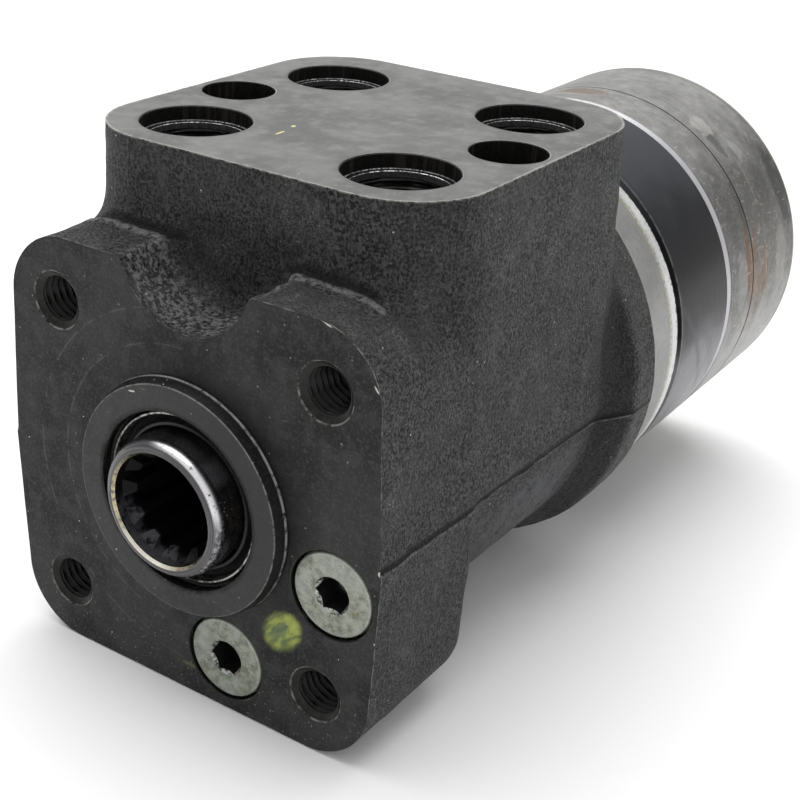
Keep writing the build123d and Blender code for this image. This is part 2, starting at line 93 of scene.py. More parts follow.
def turned(profile, n=96, kind="y", at=(0, 0), radius=None):
    """(vertices, faces) of a closed solid turned from (r, t) points whose first and last lie on the axis. radius(r, ang, t) may move a point in or out."""
    put = placer(kind, *at)
    vs, fs, rows = [], [], []
    for r, t in profile:
        if r <= 1e-9:
            rows.append([len(vs)])
            vs.append(put(0, 0, t))
        else:
            row = []
            for k in range(n):
                a = 2 * math.pi * k / n
                rr = radius(r, a, t) if radius else r
                row.append(len(vs))
                vs.append(put(rr * math.cos(a), rr * math.sin(a), t))
            rows.append(row)
    for p, q in zip(rows, rows[1:]):
        for k in range(n):
            k2 = (k + 1) % n
            if len(p) == 1 and len(q) == 1:
                continue
            if len(p) == 1:
                fs.append((p[0], q[k2], q[k]))
            elif len(q) == 1:
                fs.append((p[k], p[k2], q[0]))
            else:
                fs.append((p[k], p[k2], q[k2], q[k]))
    return vs, fs


def ring_turned(profile, n=128, kind="y", at=(0, 0)):
    """(vertices, faces) of a ring turned from a closed (r, t) outline that stays off the axis."""
    put = placer(kind, *at)
    vs, fs, m = [], [], len(profile)
    for r, t in profile:
        for k in range(n):
            a = 2 * math.pi * k / n
            vs.append(put(r * math.cos(a), r * math.sin(a), t))
    for i in range(m):
        j = (i + 1) % m
        for k in range(n):
            k2 = (k + 1) % n
            fs.append((i * n + k, i * n + k2, j * n + k2, j * n + k))
    return vs, fs


def block(x0, x1, y0, y1, z0, z1):
    vs = [(x, y, z) for x in (x0, x1) for y in (y0, y1) for z in (z0, z1)]
    fs = [(0, 1, 3, 2), (4, 6, 7, 5), (0, 4, 5, 1), (2, 3, 7, 6), (0, 2, 6, 4), (1, 5, 7, 3)]
    return vs, fs


def rod(a, b, r, n=32):
    a, b = Vector(a), Vector(b)
    d = (b - a).normalized()
    u = d.orthogonal().normalized()
    w = d.cross(u)
    vs, fs = [tuple(a)], []
    for c in (a, b):
        for k in range(n):
            t = 2 * math.pi * k / n
            vs.append(tuple(c + r * (math.cos(t) * u + math.sin(t) * w)))
    vs.append(tuple(b))
    last = len(vs) - 1
    for k in range(n):
        k2 = (k + 1) % n
        fs += [(0, 1 + k2, 1 + k), (1 + k, 1 + k2, 1 + n + k2, 1 + n + k), (last, 1 + n + k, 1 + n + k2)]
    return vs, fs


def prism(outline, base, u, v, w, length):
    """(vertices, faces) of a closed outline in the u, v plane pushed along w."""
    base, u, v, w = (Vector(q) for q in (base, u, v, w))
    n = len(outline)
    vs = [tuple(base + p * u + q * v + t * w) for t in (0.0, length) for p, q in outline]
    fs = [tuple(range(n)), tuple(range(2 * n - 1, n - 1, -1))]
    fs += [(k, k + n, (k + 1) % n + n, (k + 1) % n) for k in range(n)]
    return vs, fs


def bend(c, d, rx, ry, a0, a1, n=8):
    """Points of an elliptical corner about (c, d), angles in degrees."""
    return [(c + rx * math.cos(math.radians(a0 + (a1 - a0) * k / n)), d + ry * math.sin(math.radians(a0 + (a1 - a0) * k / n))) for k in range(n + 1)]


def slots(ob, names):
    ob.data.materials.clear()
    for k in names:
        ob.data.materials.append(MATS[k])


def faces_of(ob):
    """Centres in mm and normals of a mesh's faces."""
    me = ob.data
    n = len(me.polygons)
    c, nr = np.empty(n * 3, np.float32), np.empty(n * 3, np.float32)
    me.polygons.foreach_get("center", c)
    me.polygons.foreach_get("normal", nr)
    return c.reshape(-1, 3) / S, nr.reshape(-1, 3)


def shade(ob, idx, angle=38):
    me = ob.data
    me.polygons.foreach_set("material_index", np.asarray(idx, np.int32))
    me.polygons.foreach_set("use_smooth", np.ones(len(me.polygons), bool))
    me.set_sharp_from_angle(angle=math.radians(angle))
    me.update()


def joined(name, parts):
    vs, fs = [], []
    for v, f in parts:
        o = len(vs)
        vs += list(v)
        fs += [tuple(i + o for i in q) for q in f]
    return outward(add_mesh(name, vs, fs, smooth=False))


def carve(ob, tool, op="DIFFERENCE", keep=False):
    """The boolean of two closed meshes, written into ob."""
    mod = ob.modifiers.new("cut", "BOOLEAN")
    mod.operation, mod.solver, mod.object = op, "MANIFOLD", tool
    dg = bpy.context.evaluated_depsgraph_get()
    dg.update()
    me = bpy.data.meshes.new_from_object(ob.evaluated_get(dg), depsgraph=dg)
    ob.modifiers.clear()
    old = ob.data
    ob.data = me
    bpy.data.meshes.remove(old)
    if not keep:
        bpy.data.objects.remove(tool, do_unlink=True)
    return ob


def thread_profile(t0, t1, pitch, step=8):
    n = max(int((t1 - t0) / pitch * step), 4)
    return [(1.0, t0 + (t1 - t0) * i / n) for i in range(n + 1)]


def threaded(t_open, t_end, r_minor, r_major, pitch, lead, tip, n, kind, at, sign, first=()):
    """A tapped hole as a closed solid. t_open is the mouth, t_end the end of the wall, sign the way in, first the (r, t) points before the thread starts."""
    pts = [(0.0, first[0][1])] + list(first)
    flags = [False] * len(pts)
    for _, t in thread_profile(0, abs(t_end - t_open), pitch):
        pts.append((r_minor, t_open + sign * t))
        flags.append(True)
    pts += [(0.0, t_end + sign * tip)]
    flags += [False]
    lookup = {round(p[1], 6): f for p, f in zip(pts, flags)}

    def radius(r, a, t):
        if not lookup.get(round(t, 6), False):
            return r
        depth = abs(t - t_open)
        ph = (depth / pitch - lead * a / (2 * math.pi)) % 1.0
        v = 1 - abs(2 * ph - 1)                       # 0 at the crest, 1 at the root
        v = min(max((v - 0.12) / 0.76, 0), 1)
        fade = min(depth / 0.4, 1) * min(max((abs(t_end - t_open) - depth) / 1.2, 0), 1)
        return r + (r_major - r_minor) * v * fade
    return turned(pts, n, kind, at, radius)


# ------------------------------------------------------------------ smooth noise for the casting
def lattice(shape, cell, seed, amp):
    """Smooth random field on a grid of that shape, with features about cell grid steps wide."""
    g = np.random.default_rng(seed)
    counts = [max(int(s / c) + 4, 4) for s, c in zip(shape, cell)]
    out = g.standard_normal(counts).astype(np.float32)
    for ax, (s, c) in enumerate(zip(shape, cell)):
        pos = np.arange(s) / c + 1.0
        i = np.floor(pos).astype(int)
        f = (pos - i)[:, None]
        w = np.concatenate([(1 - f) ** 3 / 6, (3 * f ** 3 - 6 * f ** 2 + 4) / 6, (-3 * f ** 3 + 3 * f ** 2 + 3 * f + 1) / 6, f ** 3 / 6], 1)
        m = np.zeros((s, out.shape[ax]), np.float32)
        for k in range(4):
            m[np.arange(s), np.clip(i - 1 + k, 0, out.shape[ax] - 1)] += w[:, k]
        out = np.moveaxis(np.tensordot(m, out, axes=(1, ax)), 0, ax)
    return amp * out


def rmin(a, b, r):
    return np.maximum(np.minimum(a, b), r) - np.hypot(np.maximum(r - a, 0), np.maximum(r - b, 0))


def rmax(a, b, r):
    return np.minimum(np.maximum(a, b), -r) + np.hypot(np.maximum(a + r, 0), np.maximum(b + r, 0))


def ramp(v, a, b):
    t = np.clip((v - a) / (b - a), 0, 1)
    return t * t * (3 - 2 * t)


def casting(h):
    """The raw casting before machining: (vertices in mm, quads, triangles)."""
    x = np.arange(-48, 48 + h, h, dtype=np.float32)[:, None, None]
    y = np.arange(-7.2, 99.6 + h, h, dtype=np.float32)[None, :, None]
    z = np.arange(-48, 62.4 + h, h, dtype=np.float32)[None, None, :]
    shape = (x.size, y.size, z.size)
    ax, az = np.abs(x), np.abs(z)
    low = ramp(-(z + 0.037 * y), -0.1, 0.5)                      # below the parting line
    xd = ax + DRAFT * az - 0.32 * low + 0.32 * (ax > 60)                           # drafted, with a small mismatch of the two moulds
    # flange
    qx, qz = xd - (HALF_W - FLANGE_R), az - (HALF_H - FLANGE_R)
    d = np.hypot(np.maximum(qx, 0), np.maximum(qz, 0)) + np.minimum(np.maximum(qx, qz), 0) - FLANGE_R
    flange = rmax(d + 0 * y, y - FLANGE_T + 0 * d, 6.0)
    flange = np.maximum(flange, -5.4 - y)
    # port block
    yc = (BLOCK_Y0 + BLOCK_Y1) / 2
    hy = (BLOCK_Y1 - BLOCK_Y0) / 2
    r = np.where(y < yc, BLOCK_RF, BLOCK_RR)
    qx, qy = xd - (HALF_W - r), np.abs(y - yc) - (hy - r)
    d = np.hypot(np.maximum(qx, 0), np.maximum(qy, 0)) + np.minimum(np.maximum(qx, qy), 0) - r
    blockd = rmax(rmax(d, z - 60.2 + 0 * d, 0.3), -z - 0.1 + 0 * d, 0.5)
    # barrel, cone and rim
    rr = np.hypot(x, z) + 0.25 * low
    prof = np.interp(y.ravel(), [0, 77.6, 79.6, 82.4, 86.0, 87.4, 100], [40.7, 40.7, 41.2, 42.8, 44.9, 45.42, 45.42]).astype(np.float32)
    k = np.hanning(7)
    prof = np.convolve(np.pad(prof, 3, mode="edge"), k / k.sum(), mode="valid").astype(np.float32)[None, :, None]
    barrel = np.maximum(np.maximum((rr - prof) * 0.95, 10 - y), y - 98.1)
    # join them with cast fillets
    k = 0.3 + 3.4 * ramp(z, 30, 37) * (1 - ramp(xd, 36.5, 40.8)) * ramp(-y, -28, -20) + 1.0 * ramp(z, 26, 34) * ramp(xd, 36, 40)
    body = rmin(flange, blockd, k)
    corner = ramp(np.minimum(ax, az), 9, 24)
    k = 0.3 + 3.6 * corner * (1 - ramp(y, 60, 72)) * ramp(-z, -6, 2) + 2.4 * np.maximum(ramp(z, 14, 30) * ramp(y, 60, 72), ramp(y, 75, 80) * ramp(z, -2, 4))
    body = rmin(body, barrel, k)
    # scallop in the flange's top edge
    sc = rmax(np.hypot(x, z - 45.0) - 14.2 + 0 * y, y - 13.5 + 0 * x, 4.2)
    body = rmax(body, -sc, 0.7)
    # flash line left on the parting plane
    line = np.exp(-((z + 0.037 * y - 0.1) / 0.30) ** 2) * ramp(y, 1, 6) * ramp(-y, -86, -82)
    body = body - 0.20 * line * (ax > 34)
    # unevenness of the sand mould
    n1 = lattice(shape, [9 / h] * 3, 11, 0.20)
    n2 = lattice(shape, [3.2 / h] * 3, 12, 0.10)
    n3 = lattice(shape, [1.5 / h] * 3, 13, 0.085)
    # raised lip along the shoulder's back corner, left by the core
    lip = np.exp(-(((y - 11.2) / 0.9) ** 2 + ((z - 41.4) / 1.3) ** 2)) * (ax > 13.5) * ramp(36.0 - ax, 0, 4)
    body = body - 0.55 * lip
    rough = 1.0 + 2.2 * np.exp(-((np.hypot(x, z - 45) - 14.2) / 2.2) ** 2) * (y < 15) + 0.9 * ramp(z, 36, 40) * (z < 46) * (y > 8) * (y < 20)
    calm = (0.30 + 0.70 * ramp(TOP - z, 0.2, 3.0)) * (0.45 + 0.55 * ramp(y, 0.2, 2.5))
    body = body + (n1 + (n2 + n3) * rough) * calm
    body = body + 0.12                                         # keeps the skin within the finished size
    g = vdb.FloatGrid()
    g.copyFromArray(np.ascontiguousarray(body, dtype=np.float32))
    pts, tris, quads = g.convertToPolygons(0.0, 0.0)
    pts = pts * h + np.array([-48, -7.2, -48])
    return pts, quads, tris


def make_housing():
    h = 0.6
    pts, quads, tris = casting(h)
    ob = outward(add_mesh("housing_skin", pts, [tuple(q) for q in quads] + [tuple(t) for t in tris]))
    # machined front face with the pilot boss left standing
    front = joined("front_tool", [block(-60, 60, -12, 0, -60, 60)])
    boss = joined("boss_tool", [turned([(0, 1), (BOSS_R, 1), (BOSS_R, -0.55), (BOSS_R - BOSS_CH, -BOSS_H), (0, -BOSS_H)], 160)])
    carve(front, boss)
    carve(ob, front)
    # port face
    carve(ob, joined("top_tool", [block(-60, 60, -20, 120, TOP, 80)]))
    # rear face and the rim's turned edge
    carve(ob, joined("rear_tool", [turned([(0, REAR), (44.5, REAR), (46.6, REAR - 2.1), (70, REAR - 2.1), (70, 120), (0, 120)], 160)]))
    # main bore and seal seats
    bore = [(0, -4), (17.15, -4), (17.15, -BOSS_H), (16.95, -BOSS_H + 0.2), (16.95, -0.7), (16.45, -0.2), (16.45, 4.7), (WEB_R, 4.7), (WEB_R, 8.0),
            (SEAL_R, 8.0), (SEAL_R, 11.5), (BORE, 11.5), (BORE, REAR - 0.5), (BORE + 0.5, REAR), (BORE + 0.5, REAR + 1), (0, REAR + 1)]
    holes = [turned(bore, 160)]
    for sx in (-1, 1):
        for sz in (-1, 1):
            at = (sx * BOLT_H, sz * BOLT_H)
            holes.append(threaded(1.0, 19.0, 4.25, 5.0, 1.5, 1, 2.2, 64, "y", at, 1,
                                  first=[(6.3, -0.9), (5.55, 0.0), (5.25, 0.22), (4.45, 0.95)]))
        for sy in (-1, 1):
            at = (sx * PORT_X, PORT_Y + sy * PORT_DY)
            t = TOP - PORT_CB_D
            holes.append(threaded(t - 0.9, TOP - PORT_DEPTH, 8.2, 8.95, 1.5, 1, -0.0, 96, "z", at, -1,
                                  first=[(PORT_CB + 1.2, TOP + 1), (PORT_CB + 0.2, TOP), (PORT_CB, TOP - 0.2), (PORT_CB, t + 0.15), (PORT_CB - 0.12, t), (9.12, t - 0.02), (9.0, t - 0.1), (8.25, t - 0.85)]))
        holes.append(turned([(0, TOP + 1), (PIN_R + 1.15, TOP + 1), (PIN_R + 0.15, TOP), (PIN_R, TOP - 0.15), (PIN_R, TOP - PIN_D), (0, TOP - PIN_D - 2.0)], 96, "z", (sx * PIN_X, PORT_Y)))
    for px, pz in PLUGS:
        holes.append(turned([(0, -1), (8.6, -1), (8.6, 0), (8.42, 0.2), (8.42, 1.7), (8.2, 1.9), (8.2, 11.2), (5.5, 11.2), (5.5, 44), (2, 44), (2, 53), (0, 53)], 128, "y", (px, pz)))
    carve(ob, joined("hole_tool", holes))
    cx, cz = 24.9 * math.cos(math.radians(90 + 4 * 360 / 7)), 24.9 * math.sin(math.radians(90 + 4 * 360 / 7))
    ways = [turned([(0, REAR + 1), (4.9, REAR + 1), (4.9, REAR - 12.6), (4.3, REAR - 12.6), (4.3, REAR - 21.8), (2.6, REAR - 21.8), (2.6, REAR - 34), (0, REAR - 34)], 64, "y", (cx, cz))]
    for sx in (-1, 1):
        for sy, yg in ((-1, 42.0), (1, 69.0)):
            ways.append(rod((sx * PORT_X * 0.98, PORT_Y + sy * PORT_DY, TOP - PORT_DEPTH + 1), (sx * 12.5, yg, 14.0), 3.6))
    carve(ob, joined("way_tool", ways))
    return ob


housing = make_housing()


# ------------------------------------------------------------------ material helper
class Mat:
    """A node material in millimetres of the shared frame."""

    def __init__(self, name):
        self.m = bpy.data.materials.new(name)
        self.m.use_nodes = True
        self.t = self.m.node_tree
        self.t.nodes.clear()
        self.out = self.t.nodes.new("ShaderNodeOutputMaterial")
        self.b = self.t.nodes.new("ShaderNodeBsdfPrincipled")
        self.link(self.b.outputs[0], self.out.inputs["Surface"])
        tc = self.t.nodes.new("ShaderNodeTexCoord")
        mp = self.t.nodes.new("ShaderNodeMapping")
        mp.inputs["Scale"].default_value = (1000, 1000, 1000)
        self.link(tc.outputs["Object"], mp.inputs["Vector"])
        self.co = mp.outputs["Vector"]

    def link(self, a, b):
        self.t.links.new(a, b)

    def put(self, sock, v):
        if hasattr(v, "links") or isinstance(v, bpy.types.NodeSocket):
            self.link(v, sock)
        else:
            sock.default_value = v

    def node(self, kind, **props):
        n = self.t.nodes.new(kind)
        for k, v in props.items():
            setattr(n, k, v)
        return n

    def scaled(self, sx, sy, sz, co=None, rot=(0, 0, 0)):
        mp = self.node("ShaderNodeMapping")
        mp.inputs["Scale"].default_value = (sx, sy, sz)
        mp.inputs["Rotation"].default_value = rot
        self.link(co or self.co, mp.inputs["Vector"])
        return mp.outputs["Vector"]

    def noise(self, size, detail=4, rough=0.55, co=None, dist=0.0):
        n = self.node("ShaderNodeTexNoise")
        n.inputs["Scale"].default_value = 1.0 / size
        n.inputs["Detail"].default_value = detail
        n.inputs["Roughness"].default_value = rough
        n.inputs["Distortion"].default_value = dist
        self.link(co or self.co, n.inputs["Vector"])
        return n.outputs["Fac"]

    def cells(self, size, what="Distance", co=None, feature="F1", rand=1.0):
        n = self.node("ShaderNodeTexVoronoi", feature=feature)
        n.inputs["Scale"].default_value = 1.0 / size
        n.inputs["Randomness"].default_value = rand
        self.link(co or self.co, n.inputs["Vector"])
        return n.outputs[what]

    def math(self, op, a, b=0.0, c=None, clamp=False):
        n = self.node("ShaderNodeMath", operation=op, use_clamp=clamp)
        self.put(n.inputs[0], a)
        self.put(n.inputs[1], b)
        if c is not None:
            self.put(n.inputs[2], c)
        return n.outputs[0]

    def span(self, v, a, b, lo=0.0, hi=1.0, smooth=True):
        n = self.node("ShaderNodeMapRange")
        n.interpolation_type = "SMOOTHSTEP" if smooth else "LINEAR"
        n.clamp = True if hasattr(n, "clamp") else None
        self.put(n.inputs["Value"], v)
        for key, val in (("From Min", a), ("From Max", b), ("To Min", lo), ("To Max", hi)):
            self.put(n.inputs[key], val)
        return n.outputs["Result"]

    def mix(self, f, a, b, blend="MIX"):
        n = self.node("ShaderNodeMix", data_type="RGBA", blend_type=blend)
        self.put(n.inputs[0], f)
        for s, v in ((n.inputs[6], a), (n.inputs[7], b)):
            if isinstance(v, (tuple, list)) and len(v) == 3:
                v = (*v, 1.0)
            self.put(s, v)
        return n.outputs[2]

    def ramp(self, v, stops, mode="LINEAR"):
        n = self.node("ShaderNodeValToRGB")
        n.color_ramp.interpolation = mode
        e = n.color_ramp.elements
        while len(e) > 1:
            e.remove(e[-1])
        for i, (p, c) in enumerate(stops):
            el = e[0] if i == 0 else e.new(p)
            el.position = p
            el.color = (*c, 1.0) if len(c) == 3 else c
        self.link(v, n.inputs[0])
        return n.outputs[0]

    def xyz(self, co=None):
        n = self.node("ShaderNodeSeparateXYZ")
        self.link(co or self.co, n.inputs[0])
        return n.outputs[0], n.outputs[1], n.outputs[2]

    def polar(self):
        """Radius and angle (turns) about the shaft axis."""
        x, y, z = self.xyz()
        r = self.math("SQRT", self.math("ADD", self.math("MULTIPLY", x, x), self.math("MULTIPLY", z, z)))
        a = self.math("DIVIDE", self.math("ARCTAN2", z, x), 2 * math.pi)
        return r, a, y

    def combine(self, x, y, z):
        n = self.node("ShaderNodeCombineXYZ")
        for s, v in zip(n.inputs, (x, y, z)):
            self.put(s, v)
        return n.outputs[0]

    def bump(self, height, dist_mm, strength=1.0, under=None):
        n = self.node("ShaderNodeBump")
        n.inputs["Strength"].default_value = strength
        n.inputs["Distance"].default_value = dist_mm * S
        self.link(height, n.inputs["Height"])
        if under is not None:
            self.link(under, n.inputs["Normal"])
        return n.outputs[0]

    def set(self, **kw):
        names = {"color": "Base Color", "rough": "Roughness", "metal": "Metallic", "spec": "Specular IOR Level", "ior": "IOR", "normal": "Normal",
                 "coat": "Coat Weight", "coat_rough": "Coat Roughness", "aniso": "Anisotropic", "tangent": "Tangent"}
        for k, v in kw.items():
            if isinstance(v, tuple) and len(v) == 3 and k == "color":
                v = (*v, 1.0)
            self.put(self.b.inputs[names[k]], v)
        return self.m


def grey(v, r=1.0, g=1.0, b=1.0):
    return (v * r, v * g, v * b)


def specks(M, size, keep, radius, co=None):
    """1 inside small round specks: a share keep of cells of that size carries one, radius as a share of the cell."""
    n = M.node("ShaderNodeTexVoronoi", feature="F1")
    n.inputs["Scale"].default_value = 1.0 / size
    M.link(co or M.co, n.inputs["Vector"])
    near = M.span(n.outputs["Distance"], radius, radius * 0.6, 0, 1)
    sep = M.node("ShaderNodeSeparateColor")
    M.link(n.outputs["Color"], sep.inputs[0])
    lucky = M.math("LESS_THAN", sep.outputs[0], keep)
    return M.math("MULTIPLY", near, lucky)


def near(M, v, at, w):
    """1 where v is within w of at, fading to 0 at 1.6 w."""
    return M.span(M.math("ABSOLUTE", M.math("SUBTRACT", v, at)), w * 1.6, w * 0.5)


def blob(M, u, v, cu, cv, ru, rv, wob=None, amt=0.5, turn=0.0):
    """Soft patch about (cu, cv), its edge moved by the noise wob."""
    du, dv = M.math("SUBTRACT", u, cu), M.math("SUBTRACT", v, cv)
    if turn:
        c, s = math.cos(turn), math.sin(turn)
        du, dv = (M.math("ADD", M.math("MULTIPLY", du, c), M.math("MULTIPLY", dv, s)), M.math("ADD", M.math("MULTIPLY", du, -s), M.math("MULTIPLY", dv, c)))
    du, dv = M.math("DIVIDE", du, ru), M.math("DIVIDE", dv, rv)
    d = M.math("SQRT", M.math("ADD", M.math("MULTIPLY", du, du), M.math("MULTIPLY", dv, dv)))
    if wob is not None:
        d = M.math("ADD", d, M.math("MULTIPLY", M.math("SUBTRACT", wob, 0.5), amt * 2))
    return M.span(d, 1.15, 0.75)


def both(M, *v):
    out = v[0]
    for q in v[1:]:
        out = M.math("MULTIPLY", out, q)
    return out


def cast_iron():
    M = Mat("cast_iron_black")
    x, y, z = M.xyz()
    ax = M.math("ABSOLUTE", x)
    big = M.noise(16, 3)
    mid = M.noise(2.0, 4, 0.65)
    fine = M.noise(0.55, 5, 0.75)
    up = M.scaled(1.0, 1.0, 0.20, rot=(0.12, 0, 0))
    hair = M.noise(0.36, 3, 0.75, co=up, dist=0.8)
    base = M.mix(M.span(fine, 0.44, 0.57), grey(0.008, 0.95, 1.0, 0.96), grey(0.106, 0.96, 1.0, 0.975))
    base = M.mix(M.span(mid, 0.46, 0.60, 0, 0.5), base, grey(0.028, 1.0, 1.0, 0.98))
    base = M.mix(M.span(big, 0.40, 0.62, 0, 0.35), base, grey(0.075, 1.0, 1.0, 0.97))
    base = M.mix(M.span(hair, 0.55, 0.64, 0, 0.55), base, grey(0.165))
    base = M.mix(M.math("MULTIPLY", specks(M, 1.0, 0.14, 0.20), 0.6), base, grey(0.26))
    base = M.mix(specks(M, 2.0, 0.09, 0.10), base, grey(0.70, 1.02, 1.0, 0.95))
    dust = M.span(M.noise(8, 3), 0.55, 0.66)
    base = M.mix(both(M, near(M, M.noise(2.0, 1, 0.5, dist=3.5), 0.5, 0.009), dust, 0.7), base, grey(0.42))
    # painted shade: the cone in front of the rim is darker on the sides and below, where it faces forward
    cone_shade = both(M, M.span(y, 76.5, 79.0), M.span(y, 87.6, 85.6), M.span(ax, 24, 34), M.span(z, 30, 20))
    base = M.mix(M.math("MULTIPLY", cone_shade, 0.62), base, grey(0.008, 1.0, 1.0, 1.0))
    rimz = both(M, M.span(y, 87.2, 88.6), M.span(M.noise(2.4, 4, 0.7), 0.38, 0.60), M.span(z, 6, -6))
    base = M.mix(M.math("MULTIPLY", rimz, 0.45), base, grey(0.17, 0.98, 1.0, 0.98))
    # painted light: the lower barrel, below the parting line, is lighter as if lit from the floor
    under = both(M, M.span(z, -3.5, -7.5), M.span(y, 40, 48), M.span(y, 76, 72), M.span(M.noise(3.0, 4, 0.7), 0.36, 0.58))
    base = M.mix(M.math("MULTIPLY", under, 0.50), base, grey(0.155, 0.97, 0.96, 1.06))
    # painted shade: darker towards the top between y 11 and 42, into the shoulder's back corner
    upper_back_shade = both(M, M.span(z, 18, 40), M.span(y, 42, 24), M.span(y, 11.0, 13.0))
    base = M.mix(M.math("MULTIPLY", upper_back_shade, 0.18), base, grey(0.008))
    # bright lines next to the machined faces, partly wear and partly painted highlight; painted highlights on the lip
    # at the shoulder's back corner and in the scallop
    n = M.noise(1.1, 3, 0.6)
    e1 = both(M, M.span(y, 0.40, 0.05), M.span(M.noise(2.6, 3, 0.7), 0.44, 0.60))
    e2 = both(M, M.span(z, TOP - 0.34, TOP - 0.08), M.span(n, 0.36, 0.58))
    base = M.mix(M.math("MULTIPLY", M.math("MAXIMUM", e1, e2), 0.8), base, grey(0.32, 1.02, 1.0, 0.93))
    # painted highlight along the raised lip at the shoulder's back corner
    zr = M.math("ADD", z, M.math("MULTIPLY", M.math("SUBTRACT", mid, 0.5), 2.0))
    lip = both(M, near(M, y, 10.9, 0.7), M.span(zr, 39.8, 40.6), M.span(zr, 43.2, 42.0), M.span(ax, 12.5, 15), M.span(ax, 41.5, 38), M.span(n, 0.34, 0.60))
    base = M.mix(M.math("MULTIPLY", lip, 0.8), base, grey(0.25))
    zs = M.math("SUBTRACT", z, 45.0)
    rs = M.math("SQRT", M.math("ADD", M.math("MULTIPLY", x, x), M.math("MULTIPLY", zs, zs)))
    # painted highlight on the scallop's back, where its fillet catches light
    scallop_highlight = both(M, near(M, rs, 14.0, 1.6), M.span(y, 12.5, 10.0), M.span(y, 0.4, 2.0), M.span(M.noise(0.9, 4, 0.7), 0.47, 0.58))
    base = M.mix(M.math("MULTIPLY", scallop_highlight, 0.85), base, grey(0.26))
    # parting line: a painted shadow as a dark line above it and a painted highlight as a pale line below it
    zl = M.math("ADD", M.math("ADD", z, M.math("MULTIPLY", y, 0.037)), M.math("MULTIPLY", M.math("SUBTRACT", M.noise(4, 3, 0.6), 0.5), 0.7))
    on = M.span(ax, 36, 38)
    base = M.mix(both(M, near(M, zl, 0.65, 0.50), on, 0.9), base, grey(0.0025))
    base = M.mix(both(M, near(M, zl, -0.25, 0.20), on, M.span(n, 0.35, 0.6), 0.6), base, grey(0.20))
    # painted shade at the foot of the block's front wall and deep in the scallop
    recess_shade = M.math("MAXIMUM", both(M, near(M, y, 12.6, 0.9), M.span(z, 40.5, 41.6), M.span(z, 46, 43.5)), both(M, M.span(rs, 17.0, 11.0), M.span(y, 12.5, 14.5), M.span(z, 48.5, 42.0), 0.7))
    base = M.mix(M.math("MULTIPLY", recess_shade, 0.75), base, grey(0.004))
    h = M.math("ADD", M.math("MULTIPLY", fine, 1.0), M.math("MULTIPLY", mid, 0.8))
    h = M.math("ADD", h, M.math("MULTIPLY", hair, 0.5))
    h = M.math("SUBTRACT", h, M.math("MULTIPLY", both(M, near(M, zl, 0.55, 0.35), on), 0.9))
    return M.set(color=base, rough=M.span(fine, 0.3, 0.7, 0.62, 0.44), spec=0.13, normal=M.bump(h, 0.75, 1.0))


